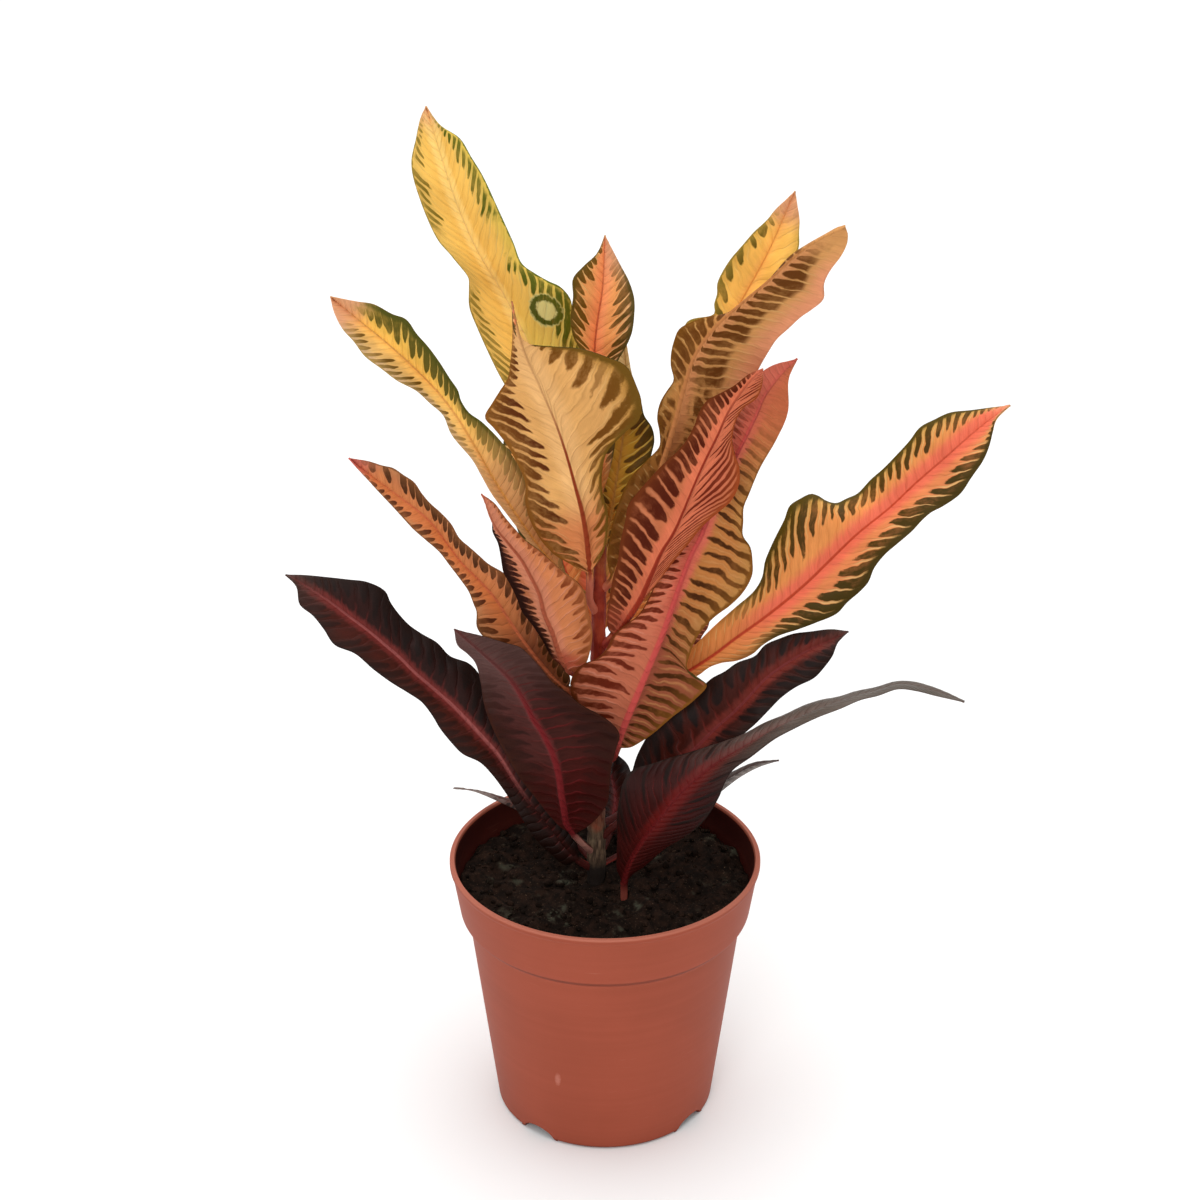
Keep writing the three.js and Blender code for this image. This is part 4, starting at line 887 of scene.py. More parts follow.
    def side_vein_lines(self, ground):
        n, edge = self.n, self.edge
        vein = self.part.step(0.72, 1.0) * (1 - edge.step(n["lines_to"] - 0.25, n["lines_to"]))
        vein = vein * edge.step(n["lines_from"] - 0.12, n["lines_from"] + 0.12) * (1 - self.at_tip * 0.8)
        return self.over(ground, vein * n["lines"], self.tone["line"])

    def blotch_colour(self):
        tone = self.tone
        deep = self.over(tone["blotch"], self.edge.step(0.45, 1.0) * 0.6, tone["rim_colour"])
        pale = (self.cloud + self.feather * 0.6 + self.ragged * 0.5).step(0.4, 0.8)
        return self.over(deep, pale * 0.25, tone["field"])

    def rim_and_midrib(self, ground):
        n, u = self.n, self.u
        outward = self.edge + self.ragged * 0.12 + (self.cloud - 0.5) * 0.1
        rim = outward.step(1 - n["rim"] * 1.4, 1 - n["rim"] * 0.5) * (1 - self.at_tip)
        ground = self.over(ground, rim * self.marked, self.tone["rim_colour"])
        slim = n["thread"] * (1 - u * 0.6)
        thread = 1 - self.d.step(slim * 0.5, slim * 1.3)
        thread = thread * (1 - u.step(n["thread_to"] - 0.3, n["thread_to"]) * 0.75)
        thread = thread * u.step(n["thread_from"] - 0.15, n["thread_from"] + 0.05)
        ground = self.over(ground, thread, self.tone["rib"])
        return self.over(ground, 1 - self.along.step(-5.0, 2.0), self.tone["stalk"])


CROTON = Croton().tree


def leaf_material(name, style, face):
    """The upper side, face 1, is glossier, and its veins are sunk where the underside's stand out."""
    specular, duller, relief = (0.12, 0.0, -1) if face == 1 else (0.08, 0.14, 1)
    made, tree, shader = material(name, 0.42, specular)
    group = tree.nodes.new("ShaderNodeGroup")
    group.node_tree = CROTON
    for key in COLOURS:
        group.inputs[key].default_value = colour(style[key])
    for key in NUMBERS:
        group.inputs[key].default_value = style[key]
    tree.links.new(group.outputs["Colour"], shader.inputs["Base Color"])
    put(tree, shader.inputs["Roughness"], Value(tree, group.outputs["Dull"]) + duller)
    bump(tree, shader, Value(tree, group.outputs["Relief"]) * relief, 0.0006, 0.6)
    return made


GOLD = dict(
    centre="#f9c56a", field="#f3be5a", outer="#e0b458", blotch="#6e5a0c", rim_colour="#9a8030",
    rib="#eeb468", line="#f6d884", foot="#f2b45a", tip="#dd9a72", stalk="#b07a3c", band=3.0, slant=0.55,
    start=0.55, cover=0.7, dense=0.85, end=0.9, rim=0.04, lines=0.2, foot_to=0.25, calm=0.9, tip_from=0.86)
FLAME = dict(
    centre="#e6764c", field="#de8c4c", outer="#d89c5c", blotch="#46360a", rim_colour="#40370c",
    rib="#c4482c", line="#f0c880", foot="#dc8846", tip="#e09c74", stalk="#9c4a34", band=5.5, start=0.46,
    dense=0.99, rim=0.12, lines=0.6, lines_from=0.5, lines_to=0.98, foot_to=0.2, calm=0.9, tip_from=0.93,
    spacing=5.4)
TAN = dict(
    centre="#eab474", field="#dfa662", outer="#c08a4c", blotch="#6a3408", rim_colour="#86541c",
    rib="#8a3418", line="#eec07c", foot="#cc7848", tip="#cf9458", stalk="#b4604a", band=5.0, slant=0.8,
    start=0.55, cover=0.7, dense=0.9, feather=0.8, rim=0.06, lines=0.25, foot_to=0.3, calm=0.3,
    tip_from=0.86, soft=0.16, thread=0.6)
ROSE = dict(
    centre="#d4705a", field="#c06a4a", outer="#a4582e", blotch="#561a04", rim_colour="#662c0c",
    rib="#96301c", line="#dc9478", foot="#a84a34", tip="#cf6c54", stalk="#9a3c34", band=4.5, start=0.3,
    cover=0.75, dense=0.98, feather=0.6, rim=0.06, lines=0.4, lines_from=0.35, lines_to=1.0, foot_to=0.14,
    calm=0.4, tip_from=0.93, soft=0.12, thread=0.7, spacing=5.0)
DARK = dict(
    centre="#5c2420", field="#34160f", outer="#26130e", blotch="#190b08", rim_colour="#21120d",
    rib="#7c3030", line="#622420", foot="#200e0a", tip="#44302a", stalk="#4a1c18", band=2.0, slant=0.5,
    start=0.35, cover=0.6, dense=0.9, rim=0.05, lines=0.4, lines_from=-0.5, lines_to=0.45, foot_to=0.2,
    calm=0.6, tip_from=0.85, tip_soft=0.15, soft=0.25, thread=1.1, vary=0.2, streak=0.35, ripple=0.09)
GREEN = dict(
    centre="#bc8a30", field="#b08628", outer="#a08432", blotch="#543a08", rim_colour="#40380c",
    rib="#b4843c", line="#dcc060", foot="#9c641c", tip="#8a6a34", stalk="#7a5a2c", band=3.0, slant=0.65,
    start=0.25, cover=0.75, dense=0.97, lines=0.6, lines_from=0.2, lines_to=1.0, tip_from=0.96, foot_to=0.3,
    soft=0.12, spacing=5.0)
MAROON = {**DARK, **dict(
    centre="#602826", field="#47221e", outer="#3a1b16", blotch="#2c120e", rim_colour="#38190f",
    rib="#8a3434", line="#7a2e2c", foot="#4a100d", tip="#573c38", stalk="#6e2a24")}

# what each leaf shows to the viewpoint, as a style and changes to it, then what its right half does
# otherwise, and the style of its other face
LOOKS = {
  "leaf_centre_front": (TAN, dict(start=0.4, cover=0.75, dense=0.98, spacing=4.8, slant=0.75, band=6.0,
      blotch="#552404", outer="#c48c50", thread_to=0.72, calm=0.0, shift=0.15, tip="#c88a50", tip_soft=0.2,
      tip_from=0.8),
    dict(start=0.42, cover=0.62, dense=0.92, slant=0.55, spacing=6.4, blotch="#74440f", outer="#b8843c",
      rim_colour="#6c4c12", rim=0.12, shift=0.0, feather=1.0), FLAME),
  "leaf_right_pink": (ROSE, dict(centre="#d4704e", start=0.22, vary=0.15, cover=0.72, spacing=6.0,
      slant=0.3, grow=1.1, band=4.0, dense=1.01, blunt=0.25, feather=0.35, field="#bc6a44", outer="#a05a36",
      blotch="#4e1602", thread=0.5, line="#d0845c", end=1.1, rim=0.1),
    dict(start=0.12, slant=1.7, cover=0.5, spacing=5.5, blotch="#6c220c", dense=0.9, blunt=0.5, vary=0.4,
      field="#cc6a4c", outer="#bc6640", rim_colour="#94421c", band=7.0, lines_from=0.4), FLAME),
  "leaf_front_red": (ROSE, dict(centre="#ce6450", field="#d4765a", outer="#c46a46", rib="#c24c46",
      thread=1.3, start=0.25, spacing=4.0, blotch="#66200c", cover=0.52, dense=1.01, slant=0.3,
      line="#dc947a", foot="#b8664a", foot_to=0.45, calm=0.0, feather=0.35, tip_from=0.72, tip_soft=0.22,
      tip="#c46450"),
    dict(start=0.12, vary=0.2, spacing=4.8, cover=0.4, blotch="#432003", field="#b8743c", foot="#8c4832",
      tip_from=0.66, tip_soft=0.25, tip="#bc6040", outer="#b47e42", rim_colour="#7c4c18", slant=0.1,
      line="#cc9058", lines_from=0.2), FLAME),
  "leaf_front_left_peach": (ROSE, dict(centre="#cc8060", field="#b46a44", outer="#3c1408",
      rim_colour="#240a03", rim=0.26, blotch="#32100a", start=0.4, cover=0.8, spacing=4.4, rib="#a8543a"),
    dict(field="#cc7c4e", outer="#b66c42", blotch="#7c3414", start=0.6, cover=0.6, rim=0.06,
      rim_colour="#94542c"), FLAME),
  "leaf_right_tan": (TAN, dict(centre="#b87c42", field="#ae783c", outer="#a87840", blotch="#60340a",
      start=0.0, cover=0.75, dense=0.99, spacing=4.4, slant=0.35, vary=0.1, grow=0.0, rib="#b87644",
      thread=0.7, net=1.0, net_to=0.5, net_size=7.0, foot="#784818", foot_to=0.5, calm=0.0,
      rim_colour="#74480f", rim=0.07, blunt=0.4),
    dict(end=0.5, outer="#dc9068", rim_colour="#d08a66", rim=0.03, field="#c48c50", slant=0.25,
      centre="#d08c58"), FLAME),
  "leaf_right_long": (FLAME, dict(centre="#e66e52", start=0.4, narrow=0.25, spacing=4.8, grow=0.4,
      cover=0.62, blunt=0.45, blotch="#4c3206", rim_colour="#54420a", field="#e2904e", foot_to=0.34,
      line="#e8b470", lines=0.7, outer="#c69a4c", vary=0.22),
    dict(narrow=0.3, vary=0.2, spacing=6.4, grow=1.0, cover=0.78, blunt=0.3, feather=0.35, slant=0.85,
      field="#de8450", outer="#cf9a50", rim=0.17, blotch="#443204", rim_colour="#433305", line="#e4b878",
      lines=0.8, band=4.5), TAN),
  "leaf_left_upper": (GOLD, dict(centre="#fcc468", field="#dcaa60", outer="#cca67c", blotch="#644408",
      start=0.42, band=3.5, cover=0.6, dense=0.9, end=1.1, rim=0.05, rim_colour="#a8884c", spacing=4.6,
      foot_to=0.6, foot="#dca068", rib="#e8a858"),
    dict(centre="#fcc45c", field="#e8b44c", outer="#b89a4c", blotch="#5c5010", start=0.34, cover=0.9,
      dense=0.99, rim=0.17, rim_colour="#4c4a0f", foot="#d89c66", calm=0.5), TAN),
  "leaf_left_orange": (FLAME, dict(centre="#cc7440", field="#c87848", outer="#b8784c", start=0.42,
      dense=0.9, blotch="#542408", cover=0.65, rim_colour="#7c4c28", rim=0.08, foot="#7a3e24", foot_to=0.35,
      calm=0.0, tip="#c4605a", tip_from=0.88, tip_soft=0.12, lines=0.3, rib="#cc6c44", line="#d89464"),
    dict(centre="#c87846", field="#bc7046", blotch="#462204", cover=0.85, start=0.36), ROSE),
  "leaf_top_left": (GOLD, dict(centre="#ffd880", rib="#f4c274", start=0.6, spacing=4.6, cover=0.6,
      dense=0.93, bare_from=0.54, bare_to=0.74, slant=1.0, thread=0.3, vary=0.15, blunt=0.3, tip_from=0.92),
    dict(start=0.56, dense=0.98, bare_from=0.6, cover=0.66, eye_along=75.0, eye_across=15.5, eye=5.4,
      line="#ccd898", outer="#dcba50", blotch="#4c5208", foot="#dcc85c", foot_to=0.62, calm=0.0, rim=0.03,
      rim_colour="#646c18"), TAN),
  "leaf_top_right": (GOLD, dict(centre="#ffc062", field="#fcc05a", outer="#dcaa4c", start=0.5, dense=0.98,
      blotch="#5c4a08", rib="#f4a04c", rim=0.06, foot_to=0.4, thread=0.7, end=1.1, spacing=8.0, cover=0.6),
    dict(dense=0.3), TAN),
  "leaf_centre_top": (FLAME, dict(centre="#fc9c60", field="#f0a05c", outer="#dca45c", start=0.42,
      spacing=4.6, rib="#d46a42", band=4.0, blotch="#6c480a", rim_colour="#60480c"),
    dict(centre="#fca068", outer="#e0a874", blotch="#5c4210", rim_colour="#58481c", tip_from=0.78,
      tip_soft=0.18), TAN),
  "leaf_centre_green": (GREEN, dict(tip="#dcc084", tip_from=0.74), {}, TAN),
  # painted shade: the lower part of leaf_dark_left takes a near black foot colour that clears its blotches,
  # and its midrib starts only above it
  "leaf_dark_left": (DARK, dict(centre="#702a26", band=2.6, rib="#a05652", thread=1.2, thread_from=0.3,
      field="#40170f", outer="#34160e", blotch="#2a110b", lines=0.5, line="#642622", ripple=0.05,
      foot="#190b07", foot_to=0.4, calm=1.0),
    dict(field="#280f0b", outer="#1c0d08", blotch="#190b08"), MAROON),
  # painted sheen: the greyer tip colour spreads over the upper half of leaf_dark_front_left
  "leaf_dark_front_left": (MAROON, dict(thread=1.3, lines=0.25, tip_from=0.5, tip_soft=0.4, rib="#6e1c1f",
      field="#451e1a", outer="#2c120c", foot="#3c0a07", foot_to=0.4, thread_to=0.8, stalk="#9c6a5e"),
    dict(lines=0.6, lines_to=0.6, line="#6a1c1e", spacing=4.6, slant=-0.15, field="#3c1914"), DARK),
  "leaf_dark_right": (DARK, dict(centre="#702a22", band=3.2, field="#3e140c", rib="#7c3230", thread=1.2,
      lines=0.6, line="#6e2620"),
    dict(field="#3a150e", outer="#291710"), MAROON),
  # painted sheen: the pale grey tip colour spreads over the upper part of leaf_dark_front_right
  "leaf_dark_front_right": (DARK, dict(centre="#611613", field="#350e0b", outer="#2a0c09", thread=1.3,
      rib="#681a1a", line="#641a18", spacing=4.2, slant=1.1, lines=0.45, lines_to=0.7, foot="#3c0f0c",
      band=4.0, dense=0.3, stalk="#8a4438", tip="#686058", tip_from=0.3, tip_soft=0.4,
      thread_to=0.55), {}, MAROON),
  "leaf_low_right": (DARK, dict(centre="#4c3c38", field="#534742", outer="#61554f", rib="#42332f",
      thread=0.5, lines=0.2, line="#6c5a54", blotch="#463b35", rim_colour="#6c6059", foot="#2c1a16",
      foot_to=0.4),
    dict(field="#7c716b", outer="#a09892", rim_colour="#a09892"), MAROON),
  "leaf_low_back_left": (DARK, dict(centre="#48241c", field="#3e2019", outer="#46281f", rib="#4a241c",
      thread=0.6, tip="#8c7c76", tip_from=0.5, tip_soft=0.3), {}, MAROON),
  "leaf_back_1": (FLAME, {}, {}, ROSE),
  "leaf_back_2": (FLAME, dict(start=0.55, field="#e2a850"), {}, TAN),
  "leaf_back_3": (FLAME, dict(start=0.5), {}, ROSE),
  "leaf_back_4": (ROSE, {}, {}, MAROON),
  "leaf_back_5": (MAROON, {}, {}, MAROON),
  "leaf_back_6": (DARK, {}, {}, MAROON),
  "leaf_back_7": (DARK, {}, {}, MAROON),
  "leaf_back_8": (GOLD, {}, {}, TAN),
  "leaf_back_9": (DARK, {}, {}, MAROON),
  "leaf_young": (GREEN, dict(centre="#b8a050", field="#a88c38"), {}, GREEN),
}


def looks_of(name, order):
    """All colours and numbers of the left half, the right half and the other face."""
    front, changes, right, rear = LOOKS[name]
    base = {**COLOURS, **NUMBERS, **SHAPE, "seed": order + 1.0}
    return {"left": {**base, **front, **changes},
            "right": {**base, **front, **changes, **right},
            "rear": {**base, **rear}}


# -------- solids
def tool(points, faces):
    """A closed solid, for cutting."""
    mesh = bpy.data.meshes.new("tool")
    mesh.from_pydata([tuple(np.array(p) * MM) for p in points], [], faces)
    made = add_object("tool", mesh)
    scratch = bmesh.new()
    scratch.from_mesh(mesh)
    bmesh.ops.recalc_face_normals(scratch, faces=scratch.faces)
    scratch.to_mesh(mesh)
    scratch.free()
    return made


def prism(low, high):
    """Between two rings of as many points."""
    n = len(low)
    faces = [tuple(range(n))[::-1], tuple(range(n, 2 * n))]
    return tool(low + high, faces + [(k, (k + 1) % n, n + (k + 1) % n, n + k) for k in range(n)])


def bar(x, y, low, high, radius, sides=32):
    """An upright round bar."""
    turns = np.linspace(0, 2 * math.pi, sides + 1)[:-1]
    ring = [(x + radius * math.cos(a), y + radius * math.sin(a)) for a in turns]
    return prism([(*p, low) for p in ring], [(*p, high) for p in ring])


def around(degrees, r):
    """x and y of a place on the pot, by its angle from the front towards +X."""
    a = math.radians(degrees)
    return r * math.sin(a), -r * math.cos(a)


def arch(grow, inner_end, outer_end, degrees, foot=-3):
    """A bar of half-round section lying on the floor, along a radius of the pot."""
    w, h = RECESS_WIDTH / 2 + grow, RECESS_HEIGHT + grow
    section = [(-w * math.cos(a), max(h * math.sin(a), foot)) for a in np.linspace(0, math.pi, 15)]
    if foot < 0:
        section = [(-w, foot)] + section + [(w, foot)]
    a = math.radians(degrees)
    ends = []
    for r in (inner_end, outer_end):
        x, y = around(degrees, r)
        ends.append([(x + s * math.cos(a), y + s * math.sin(a), z) for s, z in section])
    return prism(*ends)


def cut(body, shape, operation="DIFFERENCE"):
    change = body.modifiers.new("cut", "BOOLEAN")
    change.operation = operation
    change.object = shape
    change.solver = "EXACT"
    mesh = bpy.data.meshes.new_from_object(body.evaluated_get(bpy.context.evaluated_depsgraph_get()))
    body.modifiers.remove(change)
    body.data = mesh
    bpy.data.objects.remove(shape)


# -------- pot
AROUND = 192
LIP_LOW = POT_HEIGHT - 3
OUTER_WALL = [
    (FOOT_RADIUS - 1.2, 0), (FOOT_RADIUS, 1.2), (NECK_RADIUS, COLLAR_LOW), (COLLAR_RADIUS, COLLAR_HIGH),
    (LIP_RADIUS - 0.8, LIP_LOW), (LIP_RADIUS, POT_HEIGHT - 1.8), (LIP_RADIUS, POT_HEIGHT - 0.6),
    (LIP_RADIUS - 0.5, POT_HEIGHT)]
INNER_WALL = [
    (LIP_RADIUS - 1.9, POT_HEIGHT), (LIP_RADIUS - 2.4, POT_HEIGHT - 1), (LIP_RADIUS - 2.4, LIP_LOW),
    (COLLAR_RADIUS - WALL, COLLAR_HIGH + 1.4), (NECK_RADIUS - WALL, COLLAR_LOW + 1.4),
    (FOOT_RADIUS - WALL + 0.5, 4), (FOOT_RADIUS - WALL - 1.4, FLOOR)]
CORNERS = {3: 1.2, 4: 1.2, 5: 1.0}  # radius at these points of the profile
SCUFF_AT, SCUFF_SHARP = (-0.0195, 0.036), (900, 330)  # a small pale scuff, metres, and how fast it ends


def scuff_on(x, y, z, fine):
    dx, dz = ((v - at) * sharp for v, at, sharp in zip((x, z), SCUFF_AT, SCUFF_SHARP))
    away = dx.do("POWER", 2) + dz.do("POWER", 2) + fine * 1.5
    return (1 - away.step(0.6, 2.6)) * (1 - y.step(-0.02, 0.0))


def collar_shade_on(y, z):
    """Painted shade: a dark line under the collar, at the front."""
    low = z.step((COLLAR_LOW + 0.3) * MM, (COLLAR_LOW + 1.5) * MM)
    high = z.step((COLLAR_HIGH - 0.3) * MM, (COLLAR_HIGH + 0.5) * MM)
    return low * (1 - high) * (1 - y.step(-0.045, -0.02))


def pot_material(name, low, high):
    """Moulded plastic with faint drawing marks around it and a few dull scuffs, and painted light on it: a
    highlight along the lip, shade along the foot and a dark shade line under the collar.
    """
    made, tree, shader = material(name, 0.55, 0.16)
    spot = spot_in(tree)
    x, y, z = split(tree, spot)
    marks = noise(tree, vector(tree, x * 1.5, y * 1.5, z * 60), 8.0, 3.0)
    cloud = noise(tree, spot, 22.0, 4.0)
    fine = noise(tree, spot, 900.0, 2.0)
    scratch = noise(tree, vector(tree, x * 30, y * 30, z * 420), 3.0, 3.0).step(0.68, 0.74)
    # painted highlight: the top millimetre of the lip is made paler all around
    lip = z.step((POT_HEIGHT - 1) * MM, (POT_HEIGHT - 0.3) * MM)
    # painted shade: the lowest 1 to 2.5 mm of the pot are darkened, as its shadow where it stands on the
    # floor
    foot = 1 - (z + cloud * 0.001).step(0.001, 0.0025)
    tone = mix(tree, (marks * 0.3 + cloud * 0.7).step(0.34, 0.66), colour(low), colour(high))
    tone = mix(tree, scratch * cloud.step(0.45, 0.6) * 0.2, tone, colour("#b87460"))
    tone = mix(tree, lip * 0.55, tone, colour("#c07864"))
    tone = mix(tree, foot * 0.6, tone, colour("#4a1c12"))
    # painted shade under the collar, at the front
    tone = mix(tree, collar_shade_on(y, z) * (cloud * 0.5 + 0.3), tone, colour("#5e2a1c"))
    tone = mix(tree, scuff_on(x, y, z, fine) * 0.4, tone, colour("#d48c7a"))
    put(tree, shader.inputs["Base Color"], tone)
    put(tree, shader.inputs["Roughness"], cloud * 0.16 + 0.5)
    bump(tree, shader, marks * 0.35 + fine * 0.65, 0.00008, 0.35)
    return made


def rounded(profile, radii):
    """The profile with its corners rounded."""
    out = []
    for k, point in enumerate(profile):
        if k not in radii:
            out.append(point)
            continue
        p, a, b = (np.array(q, float) for q in (point, profile[k - 1], profile[k + 1]))
        r = min(radii[k], 0.45 * np.linalg.norm(a - p), 0.45 * np.linalg.norm(b - p))
        from_a, to_b = p + unit(a - p) * r, p + unit(b - p) * r
        for t in np.linspace(0, 1, 5):
            out.append(tuple(from_a * (1 - t) ** 2 + 2 * p * t * (1 - t) + to_b * t ** 2))
    return out


def lathe(profile, name):
    """The profile turned around the upright axis; its ends lie on the axis."""
    mesh = bmesh.new()
    turns = [2 * math.pi * k / AROUND for k in range(AROUND)]
    rings = []
    for r, z in profile:
        if r == 0:
            rings.append([mesh.verts.new((0, 0, z * MM))] * AROUND)
        else:
            circle = [(r * MM * math.cos(a), r * MM * math.sin(a), z * MM) for a in turns]
            rings.append([mesh.verts.new(place) for place in circle])
    for a, b in zip(rings, rings[1:]):
        for k in range(AROUND):
            n = (k + 1) % AROUND
            mesh.faces.new(dict.fromkeys([a[k], a[n], b[n], b[k]]))
    data = bpy.data.meshes.new(name)
    mesh.to_mesh(data)
    mesh.free()
    return add_object(name, data)


def paint_pot(mesh):
    """One material outside, and inside, up to just under the lip, a much darker copy of it as painted shade.
    """
    mesh.materials.clear()
    mesh.materials.append(pot_material("pot_outside", "#984731", "#a04c36"))
    # the inside is the same plastic as the outside, made near black as painted shade
    mesh.materials.append(pot_material("pot_inside_painted_shade", "#350d07", "#44140b"))
    for face in mesh.polygons:
        c = face.center / MM
        inward = face.normal.x * c.x + face.normal.y * c.y < 0
        within = FLOOR - 0.1 < c.z < POT_HEIGHT - 1.1 and math.hypot(c.x, c.y) < LIP_RADIUS - 2.2
        face.material_index = int(inward and within)
        face.use_smooth = True
    mesh.set_sharp_from_angle(angle=math.radians(35))


def make_pot():
    pot = lathe(rounded([(0, 0)] + OUTER_WALL + INNER_WALL + [(0, FLOOR)], CORNERS), "pot_shell")
    for at in RECESS_AT:
        cut(pot, arch(WALL, RECESS_INNER - WALL, FOOT_RADIUS - 1, at, 0.5), "UNION")
        cut(pot, arch(0, RECESS_INNER, FOOT_RADIUS + 9, at))
        cut(pot, bar(*around(at, DRAIN_AT), 2, 9, DRAIN_RADIUS))
    paint_pot(pot.data)
    stand_for(pot, "pot")


# -------- soil
SECTORS, RINGS = 360, 100
CRUMBS, CRUMBS_TO = 620, 58  # how many, and how far out they lie
UNEVEN = ((7, 2.2), (3.2, 1.3), (1.5, 0.7))  # size and height of the soil's unevenness, coarse to fine
RIM_SINK = 1.2  # mm that the soil lies lower at the wall
HOLE_AT, WALL_AT, LOW_AT = (58, 70, 80, 90, 100), (98, 94.5, 90.2, 60, 30, 4.3), FLOOR + GAP
STEM_FOOT, STALK_FOOT = (-3.7, 0, 4.6), (13, -2, 3.2)  # x, y and radius that the crumbs keep clear of
soil_turns = np.linspace(0, 2 * np.pi, SECTORS, endpoint=False)
WAYS = np.stack([np.cos(soil_turns), np.sin(soil_turns)], 1)


def lumps(x, y):
    """The soil's own waves, as in the part's source."""
    return LUMP * (np.sin(0.19 * x + 1.1) * np.cos(0.17 * y - 0.4) + 0.6 * np.sin(0.33 * x - 0.27 * y + 2)
                   + 0.4 * np.cos(0.41 * x + 0.38 * y))


def value_noise(x, y, scale, draw, size=64):
    """Between -0.5 and 0.5, smooth between random values on a square grid."""
    table = draw.random((size, size))
    x, y = x / scale, y / scale
    i, j = np.floor(x).astype(int), np.floor(y).astype(int)
    fx, fy = x - i, y - j
    fx, fy = fx * fx * (3 - 2 * fx), fy * fy * (3 - 2 * fy)
    rows = []
    for row in (j, j + 1):
        near, far = table[i % size, row % size], table[(i + 1) % size, row % size]
        rows.append(near * (1 - fx) + far * fx)
    return rows[0] * (1 - fy) + rows[1] * fy - 0.5


def soil_height(x, y):
    draw = np.random.default_rng(3)
    z = SOIL_TOP + lumps(x, y)
    for scale, height in UNEVEN:
        z = z + height * value_noise(x + 200, y + 200, scale, draw)
    return z


def wall_at(z):
    """Radius of the inside of the pot, less the gap the soil leaves."""
    radii, heights = zip(*INNER_WALL[::-1])
    return np.interp(z, heights, radii) - GAP


def soil_rings():
    """Up the hole around the stem, over the top to the wall of the pot, and down along the wall."""
    rings = []
    for z in HOLE_AT:
        x, y, r = stem_at(z)
        rings.append(np.column_stack([(x, y) + WAYS * (r + GAP + 0.05), np.full(SECTORS, z)]))
    x, y, r = stem_at(SOIL_TOP)
    hole, rim = (x, y) + WAYS * (r + GAP + 0.1), WAYS * wall_at(SOIL_TOP - 1.5)
    for t in np.linspace(0, 1, RINGS):
        xy = hole + (rim - hole) * t
        z = soil_height(xy[:, 0], xy[:, 1]) - RIM_SINK * np.exp(-((1 - t) / 0.03) ** 2)
        rings.append(np.column_stack([xy, z]))
    for z in WALL_AT:
        rings.append(np.column_stack([WAYS * wall_at(z), np.full(SECTORS, z)]))
    rings.append(np.column_stack([WAYS * (FOOT_RADIUS - 3.5), np.full(SECTORS, LOW_AT)]))
    return rings


def soil_body():
    """The soil with room for the pot's recesses and for a stalk that stands in it."""
    rings = soil_rings()
    count = len(rings) * SECTORS
    ends = [tuple(range(SECTORS)), tuple(range(count - SECTORS, count))[::-1]]
    soil = tool(np.concatenate(rings), bands(len(rings), SECTORS) + ends)
    room = [arch(WALL + GAP, RECESS_INNER - WALL - GAP, 60, at) for at in RECESS_AT]
    for leaf in LEAVES.values():
        if "node" not in leaf:
            x, y, z = seen([leaf["stalk"][0]])[0]
            room.append(bar(x, y, z - GAP, SOIL_TOP + 9, STALK_HALF + 0.8))
    for shape in room:
        cut(soil, shape)
    return soil


def crumb(mesh, at, size, squeeze, seed):
    """A rough lump, flattened where its lobes are cut."""
    draw = np.random.default_rng(seed)
    made = bmesh.ops.create_icosphere(mesh, subdivisions=2, radius=1)["verts"]
    tilt = Matrix.Rotation(draw.random() * 6.3, 3, Vector(draw.normal(size=3)).normalized())
    lobes = [(Vector(draw.normal(size=3)).normalized(), 0.12 + 0.25 * draw.random()) for _ in range(5)]
    for v in made:
        way = v.co.normalized()
        r = 0.9 - sum(depth * max(0, way.dot(axis) - 0.35) for axis, depth in lobes)
        v.co = tilt @ Vector((way.x * r, way.y * r * squeeze, way.z * r * 0.8)) * size * MM + Vector(at) * MM


def strew_crumbs(mesh):
    draw = np.random.default_rng(7)
    for k in range(CRUMBS):
        a, r = draw.random() * 2 * np.pi, CRUMBS_TO * math.sqrt(draw.random())
        x, y = r * math.cos(a), r * math.sin(a)
        size = 0.7 + 1.9 * draw.random() ** 3
        if any(math.hypot(x - fx, y - fy) < clear + size for fx, fy, clear in (STEM_FOOT, STALK_FOOT)):
            continue
        z = float(soil_height(np.array([x]), np.array([y]))[0])
        crumb(mesh, (x, y, z + size * 0.25), size, 0.55 + 0.45 * draw.random(), k)


def soil_material():
    made, tree, shader = material("soil", 0.9, 0.06)
    spot = spot_in(tree)
    coarse = noise(tree, spot, 260.0, 4.0)
    patch = noise(tree, spot, 70.0, 3.0)
    grain = noise(tree, spot, 1400.0, 3.0)
    tone = mix(tree, coarse.step(0.35, 0.7), colour("#140d09"), colour("#281a13"))
    tone = mix(tree, patch.step(0.55, 0.72) * coarse.step(0.45, 0.6) * 0.8, tone, colour("#45463a"))
    tone = mix(tree, grain.step(0.62, 0.75) * 0.6, tone, colour("#6a5442"))
    put(tree, shader.inputs["Base Color"], tone)
    put(tree, shader.inputs["Roughness"], coarse * 0.1 + 0.85)
    bump(tree, shader, grain * 0.5 + coarse * 0.5, 0.0008, 0.8)
    return made


def make_soil():
    body = soil_body()
    mesh = bmesh.new()
    mesh.from_mesh(body.data)
    bpy.data.objects.remove(body)
    strew_crumbs(mesh)
    data = bpy.data.meshes.new("soil_bed")
    mesh.to_mesh(data)
    mesh.free()
    data.polygons.foreach_set("use_smooth", [True] * len(data.polygons))
    data.materials.append(soil_material())
    stand_for(add_object("soil_bed", data), "soil")


# -------- stem
STEM_EVERY, STEM_AROUND = 0.7, 56
SCARS = (112, 119, 127, 133, 141, 148, 163, 171)  # heights of the scars of fallen leaves
TOP_ROUND = 1.6  # mm that the top is rounded over


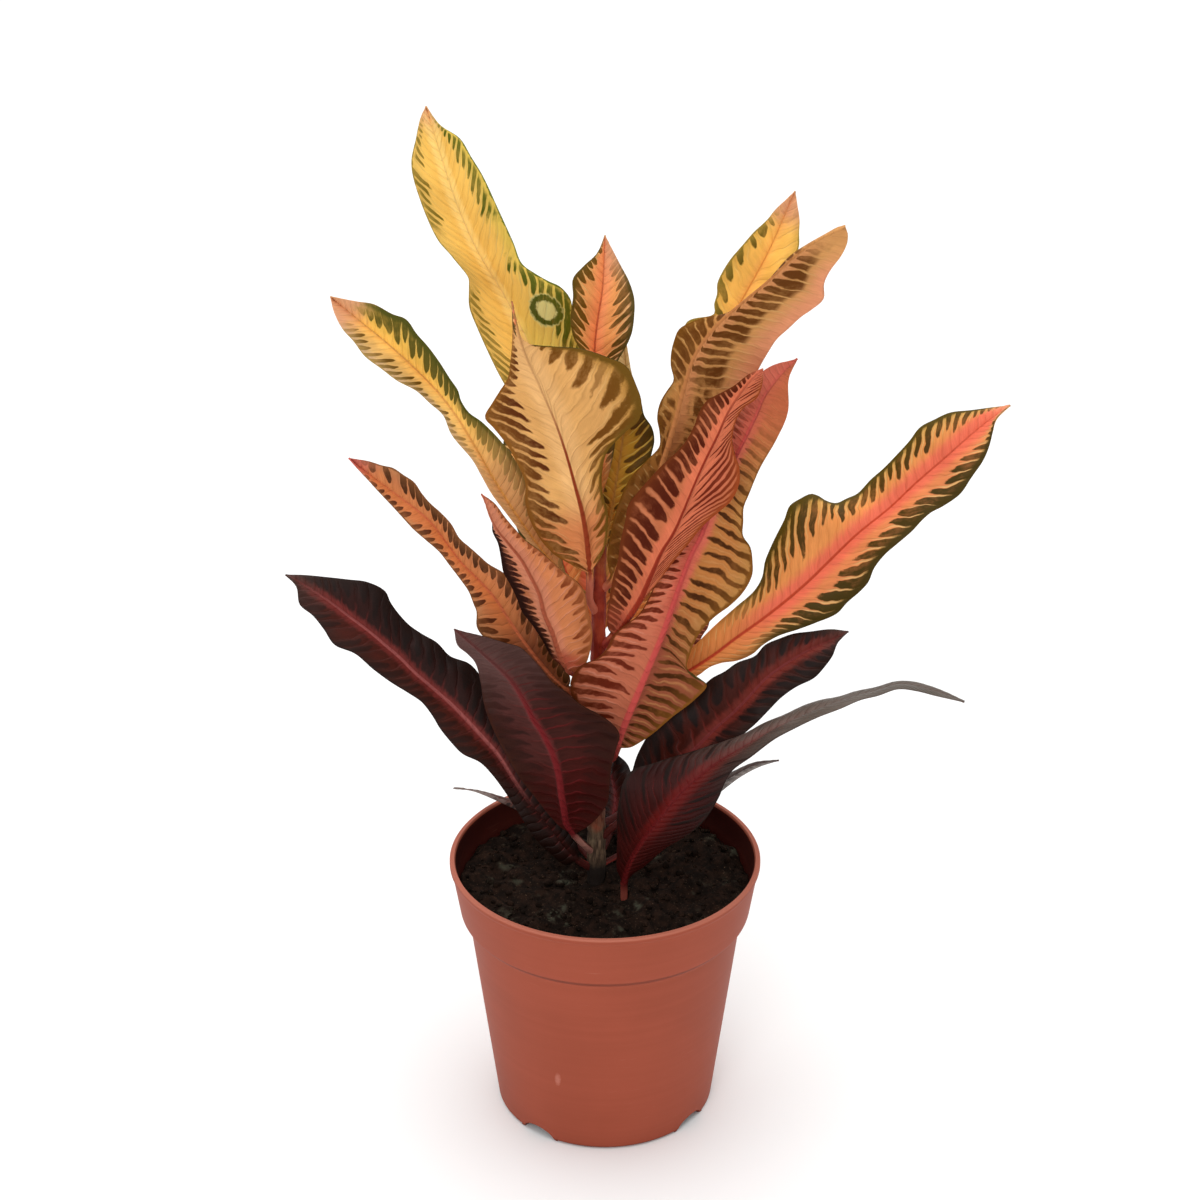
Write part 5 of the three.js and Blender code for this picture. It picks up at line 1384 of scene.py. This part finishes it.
def stem_radius(z, turns):
    """Swollen at the leaves, with fine lengthways cracks and the scars of fallen leaves."""
    nodes = np.array([leaf["node"] for leaf in LEAVES.values() if "node" in leaf])
    swell = np.exp(-((z - nodes) / 2.5) ** 2).max(1, keepdims=True)
    radius = stem_at(z[:, 0])[:, 2:3] + NODE_SWELL * swell - 0.1
    for k, cracks in enumerate((7, 11, 17)):
        radius = radius + 0.05 * np.sin(cracks * turns + 1.7 * np.sin(z / (9 + 4 * k)) + k)
    for k, height in enumerate(SCARS):
        away = (turns - 2.4 * k - math.pi) % (2 * math.pi) - math.pi
        scar = np.exp(-((z - height) / 1.3) ** 2 - (away / 0.5) ** 2)
        ring = np.exp(-((z - height + 1.5) / 0.5) ** 2)
        radius += 0.3 * scar - 0.14 * ring * np.exp(-(away / 0.9) ** 2)
    top = np.clip((z - z[-1] + TOP_ROUND) / TOP_ROUND, 0, 1)
    return radius * np.sqrt(1 - top ** 2 * 0.97)


def bark_material():
    """Bark that turns dark red towards the leaves, with painted shade, near black, where it leaves the soil.
    """
    made, tree, shader = material("stem_bark", 0.75, 0.3)
    spot = spot_in(tree)
    x, y, height = split(tree, spot)
    streaks = noise(tree, vector(tree, x * 6, y * 6, height), 160.0, 4.0, 0.6)
    patch = noise(tree, spot, 120.0, 3.0)
    bark = mix(tree, streaks.step(0.35, 0.68), colour("#3a281c"), colour("#7a614b"))
    bark = mix(tree, patch.step(0.52, 0.7) * 0.5, bark, colour("#45402c"))
    # painted shade: the stem is near black from the soil up to about 120 mm
    bark = mix(tree, (height + patch * 0.012).step(0.115, 0.124), colour("#1d130d"), bark)
    young = mix(tree, patch.step(0.4, 0.7), colour("#761804"), colour("#a03a1c"))
    tip = mix(tree, patch.step(0.4, 0.7), colour("#84360a"), colour("#a8602e"))
    tone = mix(tree, (height + patch * 0.03).step(0.145, 0.165), bark, young)
    tone = mix(tree, (height + patch * 0.02).step(0.252, 0.27), tone, tip)
    put(tree, shader.inputs["Base Color"], tone)
    put(tree, shader.inputs["Roughness"], streaks * 0.2 + 0.6)
    bump(tree, shader, streaks, 0.0008, 0.6)
    return made


def make_stem():
    path = Curve(STEM[:, :3])
    steps = round(path.length / STEM_EVERY)
    middle = path.at(np.linspace(0, 1, steps + 1))
    turns = np.linspace(0, 2 * np.pi, STEM_AROUND, endpoint=False)[None]
    x, y, z = (middle[:, [k]] for k in range(3))
    radius = stem_radius(z, turns)
    points = layers(x + radius * np.cos(turns), y + radius * np.sin(turns), z)
    count = (steps + 1) * STEM_AROUND
    ends = [tuple(range(STEM_AROUND))[::-1], tuple(range(count - STEM_AROUND, count))]
    faces = bands(steps + 1, STEM_AROUND) + ends
    piece("stem_bark", points.reshape(-1, 3), faces, [bark_material()], [0] * len(faces), "stem")


# -------- the whole
place_camera()
lamp("sky", place=(0, 0.6, 3.2), aim=(0, 0.3, 0), size=5.0, watts=110)
lamp("key", place=(-0.35, -1.7, 1.3), aim=(0, 0, 0.2), size=1.0, watts=11)
light_world(0.5)
make_floor(6)
make_pot()
make_soil()
make_stem()
for order, (name, leaf) in enumerate(LEAVES.items()):
    make_leaf(name, leaf, order, looks_of(name, order))
